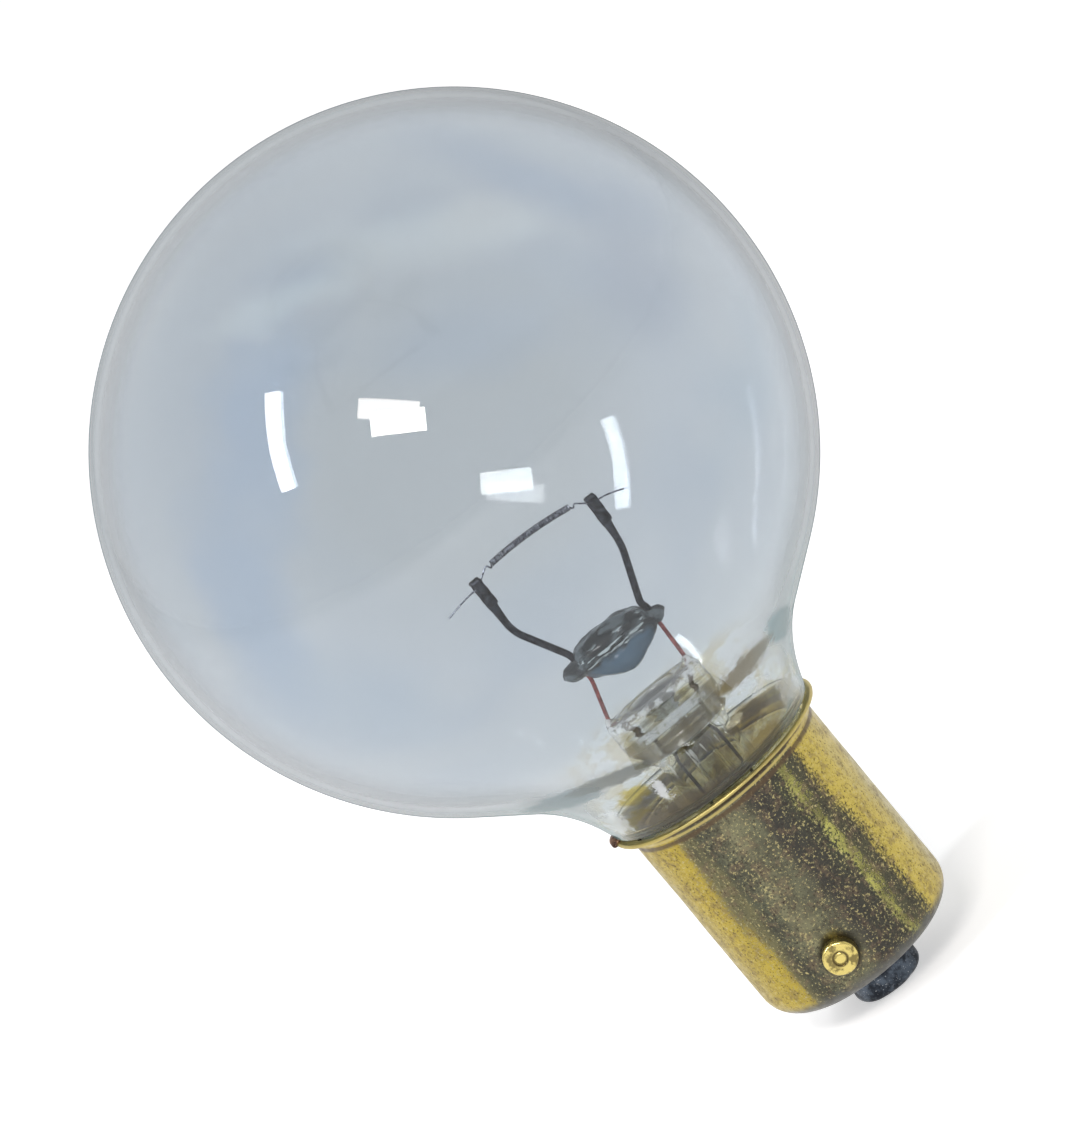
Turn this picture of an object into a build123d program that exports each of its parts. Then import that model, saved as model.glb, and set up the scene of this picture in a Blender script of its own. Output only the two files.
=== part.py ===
from build123d import *

import math
import os

# A clear globe lamp with a brass bayonet cap, in millimetres.
# +Z points up through the globe, and the cap hangs below it. The origin is on the lamp's
# axis, in the plane of the two bayonet pins, which is where a holder takes hold of it.
# The pins point along +Y and -Y.

# Cap, drawn from brass sheet
shell_radius = 7.6
shell_wall = 0.3
flare_start = 12.93
flare_curve = 0.87
end_curve = 2.3
end_opening = 4.9

# Bayonet pins, riveted through the shell
pin_radius = 1.0
pin_stand = 1.1
pin_edge = 0.2
pin_dimple = 0.1
pin_dimple_radius = 0.7
pin_shank_radius = 0.8
clinch_radius = 1.25
clinch_thickness = 0.3
clinch_clearance = 0.05

# Centre contact
insulator_bulge = 0.35
insulator_foot_radius = 3.0
eyelet_plate = 0.4
eyelet_radius = 0.95
eyelet_bore = 0.65
eyelet_stand = 0.5
contact_radius = 2.6
contact_length = 1.95
contact_edge = 0.75
solder_plug = 1.2
lead_in_contact = 0.5

# Glass envelope
globe_radius = 24.75
glass_wall = 0.6
cone_angle = 50.2
throat_curve = 12.0
throat_overlap = 0.33
throat_drop = 1.73
neck_bottom = 5.0
cement_gap = 0.3
cement_bottom = 6.2

# Stem: a flared tube, pressed flat round the leads at its top
stem_radius = 2.9
stem_wall = 0.6
press_half_width = 3.98
press_half_depth = 2.1
press_offset = -0.18
press_top = 20.4
press_height = 1.6
press_taper = 2.2
press_edge = 0.55
bore_depth_in_taper = 1.1
horn_radius = 0.5
horn_tip_radius = 0.2
horn_height = 0.7
horn_root = 0.8
exhaust_mouth_half_width = 2.0
exhaust_mouth_half_depth = 1.1
exhaust_mouth_depth = 1.0
exhaust_mouth_taper = 0.7
exhaust_outer = 1.1
exhaust_bore = 0.7
exhaust_tip = 2.7

# Wires of the mount
post_radius = 0.3
dumet_radius = 0.15
lead_radius = 0.13
filament_wire_radius = 0.06
coil_radius = 0.25
wire_bend = 0.6
post_bend = 1.6
leg_bend = 0.12
weld_height = 25.0

# The mount stands in a plane turned about Z from the line across the pins
mount_turn = 12.0

# Clamps: the post's end is flattened and folded down over the filament's wire
clamp_width = 0.85
clamp_leaf = 0.3
clamp_length = 2.3
clamp_root = 0.5
clamp_overlap = 0.15
clamp_hold = 0.75
wire_below_fold = 0.25

# Places in the mount's own plane: across it, and up the lamp's axis
left_weld = -2.7
left_bead_exit = (-2.76, 26.2)
left_elbow = (-4.75, 30.1)
left_tip = (-4.62, 34.8)
right_weld = 3.35
right_bead_exit = (3.2, 25.9)
right_elbow = (4.75, 29.9)
right_tip = (5.05, 34.2)
bead_underside = 23.9
left_horn = -3.72
right_horn = 3.2
lead_in_press = 1.9
straight_join = 0.4
lead_slope = 1.0
lead_clearance = 0.5
lead_end = 0.1
coil_left = (-2.9, 34.8)
coil_right = (3.59, 34.35)
coil_bow = 0.2
left_kink = (-3.25, 34.95)
right_kink = (4.0, 34.35)
left_tail = (-7.45, 33.7)
right_tail = (7.3, 32.85)

# Bead: for each station across it, its middle, half height and half depth
bead_stations = [
    (-4.05, 25.15, 0.2, 0.3),
    (-3.55, 25.1, 0.7, 0.95),
    (-2.4, 25.08, 1.22, 1.3),
    (-0.8, 24.75, 1.8, 1.5),
    (0.4, 24.55, 1.98, 1.5),
    (1.7, 24.8, 1.6, 1.35),
    (2.9, 24.85, 1.05, 1.15),
    (3.7, 24.7, 0.65, 0.85),
    (4.15, 24.65, 0.2, 0.3),
]

# Solder on the rim, where the shell lead comes out
rim_solder_radius = 0.75

# Worked out from the values above
shell_bore = shell_radius - shell_wall
shell_end = -(clinch_radius + clinch_clearance + end_curve)
flare_centre = shell_radius + flare_curve
flare_outer = flare_curve + shell_wall
lip_top = flare_start + flare_outer
end_centre = shell_end + end_curve
insulator_top = end_centre
insulator_end = shell_end - insulator_bulge
contact_top = insulator_end - eyelet_plate
contact_end = contact_top - contact_length
neck_radius = shell_bore - cement_gap
throat_radius = shell_radius + throat_overlap
throat_height = flare_start - throat_drop
stem_bore = stem_radius - stem_wall
press_bottom = press_top - press_height
bore_top = press_bottom - bore_depth_in_taper
join_height = press_bottom - bore_depth_in_taper / 2


def revolved(lines):
    """The solid of revolution about Z of a closed outline drawn in X and Z."""
    return revolve(Plane.XZ * make_face(Curve() + lines), Axis.Z)


def arc(centre, radius, start, end):
    """An arc about a point of the outline's plane, from one angle to another."""
    return CenterArc((centre[0], centre[1], 0), radius, start, end - start)


def outline(points):
    """Straight lines through points of the outline's plane."""
    return Polyline(*[(x, z, 0) for x, z in points])


def rod(radius, low, high):
    """A cylinder about Z from one height to another."""
    return Pos(0, 0, (low + high) / 2) * Cylinder(radius, high - low)


def slab(width, depth, low, high):
    """A box about Z from one height to another."""
    return Pos(0, 0, (low + high) / 2) * Box(width, depth, high - low)


def in_mount(x, z):
    """A point of the mount's plane, given across it and up the axis."""
    return Vector(x, 0, z)


def turned(solid):
    """A piece of the mount, turned with the mount about the lamp's axis."""
    return solid.rotate(Axis.Z, mount_turn)


def round_wire(points, radius, bend):
    """A wire through points, with its corners bent to one radius or a radius each."""
    path = FilletPolyline(*points, radius=bend)
    section = Plane(path @ 0, z_dir=path % 0) * Circle(radius)
    return sweep(section, path=path)


def glass_outline(inset):
    """The envelope's outline from its crown to its neck, moved in by a distance."""
    angle = math.radians(cone_angle)
    sphere = globe_radius - inset
    curve = throat_curve + inset
    seat = flare_outer + cement_gap + inset
    middle = throat_radius + throat_curve
    cone_run = (
        globe_radius * math.cos(angle) - middle + throat_curve * math.cos(angle)
    ) / math.sin(angle)
    globe_middle = (
        throat_height
        + (globe_radius + throat_curve) * math.sin(angle)
        + cone_run * math.cos(angle)
    )
    leave = (sphere * math.cos(angle), globe_middle - sphere * math.sin(angle))
    meet = (middle - curve * math.cos(angle), throat_height + curve * math.sin(angle))
    # The throat's arc runs down until it meets the arc that sits in the cap's flare
    across, down = middle - flare_centre, throat_height - flare_start
    apart = math.hypot(across, down)
    corner = math.acos((apart**2 + seat**2 - curve**2) / (2 * apart * seat))
    seat_turn = math.atan2(down, across) + corner
    shoulder = (
        flare_centre + seat * math.cos(seat_turn),
        flare_start + seat * math.sin(seat_turn),
    )
    throat_turn = math.atan2(shoulder[1] - throat_height, shoulder[0] - middle)
    lines = [
        arc((0, globe_middle), sphere, 90, -cone_angle),
        outline([leave, meet]),
        arc((middle, throat_height), curve, 180 - cone_angle, math.degrees(throat_turn)),
        arc((flare_centre, flare_start), seat, math.degrees(seat_turn), 180),
        outline([(flare_centre - seat, flare_start), (flare_centre - seat, neck_bottom)]),
    ]
    return lines, globe_middle + sphere


def glass_envelope():
    outside, crown = glass_outline(0)
    inside, crown_inside = glass_outline(glass_wall)
    rim = outline([(neck_radius, neck_bottom), (neck_radius - glass_wall, neck_bottom)])
    axis = outline([(0, crown), (0, crown_inside)])
    return revolved(outside + inside + [rim, axis])


def base_shell():
    sheet = [
        arc((flare_centre, flare_start), flare_curve, 90, 180),
        outline([(shell_radius, flare_start), (shell_radius, end_centre)]),
        arc((shell_radius - end_curve, end_centre), end_curve, 0, -90),
        outline(
            [
                (shell_radius - end_curve, shell_end),
                (end_opening, shell_end),
                (end_opening, shell_end + shell_wall),
                (shell_radius - end_curve, shell_end + shell_wall),
            ]
        ),
        arc((shell_radius - end_curve, end_centre), end_curve - shell_wall, -90, 0),
        outline([(shell_bore, end_centre), (shell_bore, flare_start)]),
        arc((flare_centre, flare_start), flare_outer, 180, 90),
        arc((flare_centre, lip_top - shell_wall / 2), shell_wall / 2, 90, -90),
    ]
    hole = Cylinder(pin_shank_radius, 4 * shell_radius, rotation=(90, 0, 0))
    return revolved(sheet) - hole


def bayonet_pin(side):
    """One pin: a head outside the wall, a shank through it and a clinch inside."""
    reach = shell_radius + pin_stand
    inner = shell_bore - clinch_thickness
    head = Pos(0, 0, reach / 2) * Cylinder(pin_radius, reach)
    head = fillet(head.edges().filter_by(GeomType.CIRCLE).sort_by(Axis.Z)[-1], pin_edge)
    ball = (pin_dimple_radius**2 + pin_dimple**2) / (2 * pin_dimple)
    head -= Pos(0, 0, reach + ball - pin_dimple) * Sphere(ball)
    shank = rod(pin_shank_radius, inner, shell_radius + pin_stand / 2)
    clinch = rod(clinch_radius, inner, shell_radius)
    outwards = Rotation(90 * side, 0, 0)
    barrel = Cylinder(shell_radius, 4 * shell_radius)
    bore = Cylinder(shell_bore, 4 * shell_radius)
    return (outwards * head - barrel) + outwards * shank + (outwards * clinch & bore)


def insulator():
    bore_radius = end_curve - shell_wall
    section = [
        outline([(eyelet_radius, insulator_top), (shell_bore, insulator_top)]),
        arc((shell_radius - end_curve, end_centre), bore_radius, 0, -90),
        outline(
            [
                (shell_radius - end_curve, shell_end + shell_wall),
                (end_opening, shell_end + shell_wall),
                (end_opening, shell_end),
                (insulator_foot_radius, insulator_end),
                (eyelet_radius, insulator_end),
                (eyelet_radius, insulator_top),
            ]
        ),
    ]
    return revolved(section)


def contact_eyelet():
    stem_top = insulator_top + eyelet_stand
    section = outline(
        [
            (eyelet_bore, stem_top),
            (eyelet_radius, stem_top),
            (eyelet_radius, insulator_end),
            (contact_radius, insulator_end),
            (contact_radius, contact_top),
            (eyelet_bore, contact_top),
            (eyelet_bore, stem_top),
        ]
    )
    return revolved([section])


def contact_solder():
    """The solder button, with the plug that holds the lead in the eyelet."""
    button = rod(contact_radius, contact_end, contact_top)
    low = button.edges().filter_by(GeomType.CIRCLE).sort_by(Axis.Z)[0]
    plug = rod(eyelet_bore, contact_top, contact_top + solder_plug)
    return fillet(low, contact_edge) + plug - contact_lead()


def basing_cement():
    """The ring of cement between the neck and the shell."""
    ring = rod(shell_bore, cement_bottom, flare_start)
    ring -= rod(neck_radius, cement_bottom, flare_start)
    return ring - shell_lead()


def press():
    """The pressed top of the stem, an oval with the pump's mouth open in it."""
    place = Pos(press_offset, 0, 0)
    oval = place * Ellipse(press_half_width, press_half_depth)
    neck = Pos(0, 0, press_bottom - press_taper) * Circle(stem_radius)
    solid = loft([neck, Pos(0, 0, press_bottom) * oval])
    solid += Pos(0, 0, press_bottom) * extrude(oval, press_height)
    solid = fillet(solid.faces().sort_by(Axis.Z)[-1].edges(), press_edge)
    for x in (left_horn, right_horn):
        horn = Cone(horn_radius, horn_tip_radius, horn_height + horn_root)
        solid += Pos(x, 0, press_top + (horn_height - horn_root) / 2) * horn
    mouth = [
        Pos(press_offset, 0, press_top - drop)
        * Ellipse(share * exhaust_mouth_half_width, share * exhaust_mouth_half_depth)
        for drop, share in ((0, 1), (exhaust_mouth_depth, exhaust_mouth_taper))
    ]
    return solid - loft(mouth)


def stem_flare():
    """Flare, tube and press in one piece of glass, open below."""
    run = neck_radius - glass_wall - stem_radius
    foot = neck_bottom - stem_wall
    turn = (stem_radius + run, neck_bottom + run)
    press_start = press_bottom - press_taper
    outside = [
        outline([(0, foot), (neck_radius, foot), (neck_radius, neck_bottom)]),
        outline([(neck_radius, neck_bottom), (turn[0], neck_bottom)]),
        arc(turn, run, -90, -180),
        outline([(stem_radius, turn[1]), (stem_radius, press_start)]),
        outline([(stem_radius, press_start), (0, press_start), (0, foot)]),
    ]
    hollow = [
        outline([(0, foot), (turn[0], foot)]),
        arc(turn, run + stem_wall, -90, -180),
        outline([(stem_bore, turn[1]), (stem_bore, bore_top), (0, bore_top), (0, foot)]),
    ]
    glass = revolved(outside) + press() - revolved(hollow)
    glass = turned(glass - rod(exhaust_bore, bore_top, press_top))
    for wire in (dumet_lead_left(), dumet_lead_right(), shell_lead(), contact_lead()):
        glass -= wire
    return glass


def exhaust_tube():
    """The pump tube under the press, melted shut at its lower tip."""
    wall = exhaust_outer - exhaust_bore
    shut = exhaust_tip + exhaust_outer
    section = [
        outline(
            [
                (exhaust_bore, bore_top),
                (exhaust_outer, bore_top),
                (exhaust_outer, shut),
            ]
        ),
        arc((0, shut), exhaust_outer, 0, -90),
        outline([(0, exhaust_tip), (0, exhaust_tip + 2 * wall)]),
        outline([(0, exhaust_tip + 2 * wall), (exhaust_bore, shut + wall)]),
        outline([(exhaust_bore, shut + wall), (exhaust_bore, bore_top)]),
    ]
    return revolved(section)


def dumet_lead(weld, horn, side):
    points = [
        in_mount(weld, weld_height),
        in_mount(weld, bead_underside),
        in_mount(horn, press_top),
        in_mount(side * lead_in_press, join_height + straight_join),
        in_mount(side * lead_in_press, join_height),
    ]
    bends = [wire_bend, wire_bend, straight_join / 2]
    return turned(round_wire(points, dumet_radius, bends))


def dumet_lead_left():
    return dumet_lead(left_weld, left_horn, -1)


def dumet_lead_right():
    return dumet_lead(right_weld, right_horn, 1)


def shell_lead():
    """Down the stem, round under the neck and up beside it, over the flare to the rim."""
    over_flare = flare_outer + cement_gap / 2
    beside_neck = over_flare - flare_centre
    inside_stem = -(exhaust_outer + stem_bore) / 2
    under_neck = neck_bottom - stem_wall - lead_clearance
    points = [
        in_mount(-lead_in_press, join_height),
        in_mount(-lead_in_press, join_height - straight_join),
        in_mount(inside_stem, bore_top - lead_slope),
        in_mount(inside_stem, under_neck),
        in_mount(beside_neck, under_neck),
        in_mount(beside_neck, flare_start + over_flare),
        in_mount(-flare_centre - lead_end, flare_start + over_flare),
    ]
    bends = 2 * [straight_join / 2] + 2 * [wire_bend] + [over_flare]
    return turned(round_wire(points, lead_radius, bends))


def contact_lead():
    """Down the stem, in under the pump tube's tip and through the eyelet."""
    inside_stem = (exhaust_outer + stem_bore) / 2
    points = [
        in_mount(lead_in_press, join_height),
        in_mount(lead_in_press, join_height - straight_join),
        in_mount(inside_stem, bore_top - lead_slope),
        in_mount(inside_stem, exhaust_tip),
        in_mount(0, insulator_top + 2 * eyelet_stand),
        in_mount(0, contact_top - lead_in_contact),
    ]
    bends = 2 * [straight_join / 2] + 2 * [wire_bend]
    return turned(round_wire(points, lead_radius, bends))


def support_post(weld, bead_exit, elbow, tip):
    """A post: a wire out of the bead, flattened at its end and folded over."""
    lean = math.degrees(math.atan2(tip[0] - elbow[0], tip[1] - elbow[1]))
    half = filament_wire_radius + clamp_leaf
    under_clamp = clamp_length + clamp_overlap
    along = (tip[1] - elbow[1] - under_clamp) / (tip[1] - elbow[1])
    points = [
        in_mount(weld, weld_height),
        in_mount(weld, weld_height + straight_join),
        in_mount(*bead_exit),
        in_mount(*elbow),
        in_mount(elbow[0] + along * (tip[0] - elbow[0]), tip[1] - under_clamp),
    ]
    wire = round_wire(points, post_radius, [straight_join, wire_bend, post_bend])
    fold = Pos(0, 0, -half) * Cylinder(half, clamp_width, rotation=(0, 90, 0))
    leaves = slab(clamp_width, 2 * half, -clamp_length, -half)
    gap = slab(2 * clamp_width, 2 * filament_wire_radius, -clamp_length, -wire_below_fold)
    root = slab(2 * post_radius, half, -clamp_length - clamp_root, -clamp_length)
    clamp = fold + leaves - gap + Pos(0, half / 2, 0) * root
    clamp = Pos(tip[0], 0, tip[1]) * Rotation(0, lean, 0) * clamp
    return turned(wire + clamp)


def support_post_left():
    return support_post(left_weld, left_bead_exit, left_elbow, left_tip)


def support_post_right():
    return support_post(right_weld, right_bead_exit, right_elbow, right_tip)


def glass_bead():
    """A bead of glass melted round both wires of the mount."""
    sections = [
        Plane(in_mount(x, z), x_dir=(0, 1, 0), z_dir=(1, 0, 0)) * Ellipse(depth, height)
        for x, z, height, depth in bead_stations
    ]
    bead = turned(loft(sections))
    wires = [support_post_left(), support_post_right(), dumet_lead_left(), dumet_lead_right()]
    for wire in wires:
        bead -= wire
    return bead


def filament():
    """The coil as one rod of its outer size, with its legs and their tails."""
    bowed = (
        (coil_left[0] + coil_right[0]) / 2,
        (coil_left[1] + coil_right[1]) / 2 + coil_bow,
    )
    rise = ThreePointArc(in_mount(*coil_left), in_mount(*bowed), in_mount(*coil_right))
    coil = sweep(Plane(rise @ 0, z_dir=rise % 0) * Circle(coil_radius), path=rise)
    left_clamp = (left_tip[0], left_tip[1] - clamp_hold)
    right_clamp = (right_tip[0], right_tip[1] - clamp_hold)
    left_leg = [coil_left, left_kink, left_clamp, left_tail]
    right_leg = [coil_right, right_kink, right_clamp, right_tail]
    legs = [
        round_wire([in_mount(*point) for point in leg], filament_wire_radius, leg_bend)
        for leg in (left_leg, right_leg)
    ]
    return turned(coil + legs[0] + legs[1])


def shell_solder():
    """The spot of solder on the rim, over the end of the shell lead."""
    blob = Pos(-flare_centre, 0, lip_top) * Sphere(rim_solder_radius)
    return turned(blob) - base_shell() - shell_lead() - glass_envelope()


pieces = {
    "glass_envelope": glass_envelope,
    "stem_flare": stem_flare,
    "exhaust_tube": exhaust_tube,
    "glass_bead": glass_bead,
    "support_post_left": support_post_left,
    "support_post_right": support_post_right,
    "dumet_lead_left": dumet_lead_left,
    "dumet_lead_right": dumet_lead_right,
    "filament": filament,
    "shell_lead": shell_lead,
    "contact_lead": contact_lead,
    "base_shell": base_shell,
    "bayonet_pin_front": lambda: bayonet_pin(1),
    "bayonet_pin_rear": lambda: bayonet_pin(-1),
    "insulator": insulator,
    "contact_eyelet": contact_eyelet,
    "contact_solder": contact_solder,
    "basing_cement": basing_cement,
    "shell_solder": shell_solder,
}

os.makedirs("parts", exist_ok=True)
for name, make in pieces.items():
    export_step(make(), f"parts/{name}.step")
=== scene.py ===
import math

import bmesh
import bpy
import numpy as np
from mathutils import Matrix, Vector, noise


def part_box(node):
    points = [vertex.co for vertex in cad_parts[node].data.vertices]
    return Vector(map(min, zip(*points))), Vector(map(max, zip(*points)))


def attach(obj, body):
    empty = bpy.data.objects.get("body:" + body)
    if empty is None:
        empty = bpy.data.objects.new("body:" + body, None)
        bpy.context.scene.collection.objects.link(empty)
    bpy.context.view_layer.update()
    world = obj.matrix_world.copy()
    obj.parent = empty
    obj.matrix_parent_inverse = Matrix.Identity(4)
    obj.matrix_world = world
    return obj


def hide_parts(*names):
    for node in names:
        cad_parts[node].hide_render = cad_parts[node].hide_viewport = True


# A clear globe lamp on a brass bayonet cap. Lengths are in millimetres and turned into
# metres where a mesh is made. +Z runs from the cap up through the globe.
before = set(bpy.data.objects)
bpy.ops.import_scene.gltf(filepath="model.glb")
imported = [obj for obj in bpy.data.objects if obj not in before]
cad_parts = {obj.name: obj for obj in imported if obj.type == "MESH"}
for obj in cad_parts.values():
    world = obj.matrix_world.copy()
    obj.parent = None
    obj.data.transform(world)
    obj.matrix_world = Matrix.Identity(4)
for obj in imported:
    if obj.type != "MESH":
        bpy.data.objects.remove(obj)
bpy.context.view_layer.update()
MM = 0.001


def box_mm(node):
    """The lowest and highest corner of a CAD node, in millimetres."""
    low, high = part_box(node)
    return low / MM, high / MM


# Sizes that the frame gives
glass_low, glass_high = box_mm("glass_envelope")
shell_low, shell_high = box_mm("base_shell")
insulator_low, insulator_high = box_mm("insulator")
eyelet_low, eyelet_high = box_mm("contact_eyelet")
button_low, button_high = box_mm("contact_solder")
cement_low, cement_high = box_mm("basing_cement")
pump_low, pump_high = box_mm("exhaust_tube")
pin_low, pin_high = box_mm("bayonet_pin_front")
spot_low, spot_high = box_mm("shell_solder")
globe_radius = glass_high.x
globe_middle = glass_high.z - globe_radius
neck_bottom = glass_low.z
lip_top = shell_high.z
shell_end = shell_low.z

# Cap
shell_wall = 0.3
shell_radius = 7.6
shell_bore = shell_radius - shell_wall
flare_curve = 0.87
flare_start = lip_top - flare_curve - shell_wall
flare_middle = shell_radius + flare_curve
end_curve = 2.3
end_opening = 4.9
end_middle = shell_end + end_curve
end_softness = 0.06

# Pins, the eyelet's hole and the solder button
pin_foot = 7.1
pin_shank = 0.8
pin_seat = 7.4
pin_edge = 0.2
eyelet_wall_inside = 0.95
eyelet_bore = 0.65
eyelet_edge = 0.1
button_root = 0.62
button_edge = 0.75

# Glass envelope
glass_wall = 0.6
cone_angle = 50.2
throat_curve = 12.0
throat_radius = 7.93
throat_height = flare_start - 1.73
cement_gap = 0.3
neck_seat = flare_curve + shell_wall + cement_gap
neck_radius = flare_middle - neck_seat

# Stem
stem_radius = 2.9
stem_wall = 0.6
stem_bore = stem_radius - stem_wall
flare_run = neck_radius - glass_wall - stem_radius
flare_turn = (stem_radius + flare_run, neck_bottom + flare_run)
press_half_width = 3.98
press_half_depth = 2.1
press_offset = -0.18
press_top = 20.4
press_bottom = 18.8
press_taper = 2.2
press_edge = 0.55
bore_top = pump_high.z
mouth_half_width = 2.0
mouth_half_depth = 1.1
mouth_depth = 1.0
pump_radius = 1.1
pump_bore = 0.7
left_horn = -3.72
right_horn = 3.2
horn_height = 0.7
horn_width = 0.42
horn_root = 0.7

# Wires. Places are across the mount's own plane and up the axis
mount_turn = math.radians(12.0)
across_mount = (math.cos(mount_turn), math.sin(mount_turn), 0)
towards_front = (math.sin(mount_turn), -math.cos(mount_turn), 0)
post_radius = 0.3
dumet_radius = 0.15
lead_radius = 0.13
filament_wire_radius = 0.06
coil_radius = 0.25
coil_turns = 46
left_weld = -2.7
right_weld = 3.35
weld_height = 25.0
bead_underside = 23.9
lead_in_press = 1.9
lead_in_stem = (pump_radius + stem_bore) / 2
join_height = 18.25
join_length = 0.4
left_post = [(-2.7, 25.0), (-2.7, 25.4), (-2.76, 26.2), (-4.75, 30.1), (-4.66, 32.1)]
right_post = [(3.35, 25.0), (3.35, 25.4), (3.2, 25.9), (4.75, 29.9), (4.93, 31.6)]
left_tip = (-4.62, 34.8)
right_tip = (5.05, 34.2)
clamp_length = 2.3
clamp_half_width = 0.37
clamp_half_leaf = 0.15
clamp_hold = 0.75
clamp_step = 0.13
coil_left = (-2.9, 34.8)
coil_right = (3.59, 34.35)
coil_bow = 0.2
left_kink = (-3.25, 34.95)
right_kink = (4.0, 34.35)
left_tail = (-7.45, 33.7)
right_tail = (7.3, 32.85)

# Bead: along it, its height, half its thickness up and half its depth
bead_stations = [
    (-4.05, 25.1, 0.22, 0.3),
    (-3.75, 25.05, 0.56, 0.65),
    (-3.3, 25.02, 0.68, 0.8),
    (-2.95, 25.05, 0.74, 0.95),
    (-2.3, 25.08, 1.24, 1.3),
    (-0.8, 24.75, 1.8, 1.5),
    (0.4, 24.55, 1.98, 1.5),
    (1.7, 24.8, 1.6, 1.35),
    (2.8, 24.82, 1.05, 1.15),
    (3.25, 24.66, 0.62, 0.85),
    (3.65, 24.56, 0.6, 0.7),
    (3.95, 24.58, 0.44, 0.5),
    (4.15, 24.62, 0.2, 0.25),
]
bead_tip = 0.12
bead_middle = 24.85
bead_groove = 24.75
bead_shoulder = 25.35


# Shapes


def arc(middle, radius, start, end, steps):
    """Points of an arc in the outline's plane, from one angle to another in degrees."""
    turns = np.radians(np.linspace(start, end, steps + 1))
    return [
        (middle[0] + radius * math.cos(a), middle[1] + radius * math.sin(a))
        for a in turns
    ]


def straight(radius, start, end, count):
    """That many points straight up or down at one radius."""
    return [(radius, z) for z in np.linspace(start, end, count)]


def rounded(points, bend):
    """The points of a route with each corner bent round."""
    route = [np.array(p, float) for p in points]
    made = [route[0]]
    for before, corner, after in zip(route, route[1:], route[2:]):
        into, out = corner - before, after - corner
        reach = min(bend, 0.45 * np.linalg.norm(into), 0.45 * np.linalg.norm(out))
        start = corner - reach * into / np.linalg.norm(into)
        end = corner + reach * out / np.linalg.norm(out)
        for t in np.linspace(0, 1, 9):
            made.append((1 - t) ** 2 * start + 2 * t * (1 - t) * corner + t * t * end)
    return made + [route[-1]]


def in_mount(points):
    """Points of the mount's plane as points in space, not turned yet."""
    return [(x, 0.0, z) for x, z in points]


def loft(rings, steps, joined=False):
    """The skin over a row of rings. A ring is its middle, two half axes and a squareness,
    where 2 is an ellipse. A ring of no size is a pole."""
    turns = np.linspace(0, 2 * math.pi, steps, endpoint=False)
    points = []
    for middle, across, along, square in rings:
        c, s = np.cos(turns), np.sin(turns)
        c = np.sign(c) * np.abs(c) ** (2 / square)
        s = np.sign(s) * np.abs(s) ** (2 / square)
        points.append(np.array(middle) + np.outer(c, across) + np.outer(s, along))
    count = len(rings)
    faces = []
    for i in range(count if joined else count - 1):
        a, b = i * steps, ((i + 1) % count) * steps
        for j in range(steps):
            k = (j + 1) % steps
            faces.append((a + j, a + k, b + k, b + j))
    return np.concatenate(points), faces


def wire(route, radius, steps=16):
    """A round wire along a route, its cut ends a little rounded."""
    radii = [0.0, 0.75 * radius, radius] + [radius] * (len(route) - 2)
    sections = [(r, r, 2.0) for r in radii + [radius, 0.75 * radius, 0.0]]
    return strip(route, sections, (0, 1, 0), steps)


def strip(route, sections, hint, steps=16):
    """A wire whose section changes along its route. The first two and the last two
    sections close its ends, and hint is the direction of the first half axis."""
    line = [np.array(p, float) for p in route]
    start, end = line[0], line[-1]
    into = (line[1] - start) / np.linalg.norm(line[1] - start)
    out = (end - line[-2]) / np.linalg.norm(end - line[-2])
    ease = 0.15 * max(sections[2][:2])
    line = [start - ease * into, start - ease * into * 0.6] + line
    line += [end + ease * out * 0.6, end + ease * out]
    rings = []
    for i, (place, (half, thick, square)) in enumerate(zip(line, sections)):
        ahead = line[min(i + 1, len(line) - 1)] - line[max(i - 1, 0)]
        ahead = ahead / np.linalg.norm(ahead)
        across = np.array(hint, float) - np.dot(hint, ahead) * ahead
        across = across / np.linalg.norm(across)
        rings.append((place, half * across, thick * np.cross(ahead, across), square))
    return loft(rings, steps)


def turned_with_mount(points):
    """Points of the mount, turned with it about the lamp's axis."""
    c, s = math.cos(mount_turn), math.sin(mount_turn)
    x, y, z = np.array(points, float).T
    return np.stack([c * x - s * y, s * x + c * y, z], axis=1)


def lumps(place, size, seed):
    """A smooth random height from -1 to 1, for waves of about that size."""
    return noise.noise(Vector(place) / size + Vector((seed, 2.3 * seed, -seed)))


def tidy_mesh(mesh, crease):
    """Joins doubled points, turns the faces outwards and smooths all but sharp edges."""
    work = bmesh.new()
    work.from_mesh(mesh)
    bmesh.ops.remove_doubles(work, verts=work.verts, dist=1e-4 * MM)
    if work.calc_volume(signed=True) < 0:
        bmesh.ops.reverse_faces(work, faces=work.faces)
    work.to_mesh(mesh)
    work.free()
    mesh.polygons.foreach_set("use_smooth", [True] * len(mesh.polygons))
    mesh.set_sharp_from_angle(angle=math.radians(crease))


def ripple(mesh, height, size, seed, lowest=None):
    """Moves the skin in and out by smooth random heights."""
    normals = [v.normal.copy() for v in mesh.vertices]
    for v, normal in zip(mesh.vertices, normals):
        if lowest is None or v.co.z > lowest * MM:
            v.co += normal * (height * MM * lumps(v.co / MM, size, seed))


def in_scene(name, data):
    """An object of the scene from its data."""
    made = bpy.data.objects.new(name, data)
    bpy.context.scene.collection.objects.link(made)
    return made


def lamp_piece(mesh, node, finish=None):
    """Puts a finished mesh on the lamp, in place of its CAD node."""
    piece = in_scene(mesh.name, mesh)
    if finish:
        mesh.materials.append(finish)
    if node:
        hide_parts(node)
    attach(piece, "root")


def mount_piece(name, shape, node, finish, crease=40):
    """Puts a skin of points in millimetres on the lamp, turned with the mount."""
    points, faces = shape
    mesh = bpy.data.meshes.new(name)
    mesh.from_pydata((turned_with_mount(points) * MM).tolist(), [], faces)
    tidy_mesh(mesh, crease)
    lamp_piece(mesh, node, finish)


# Node trees


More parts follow.
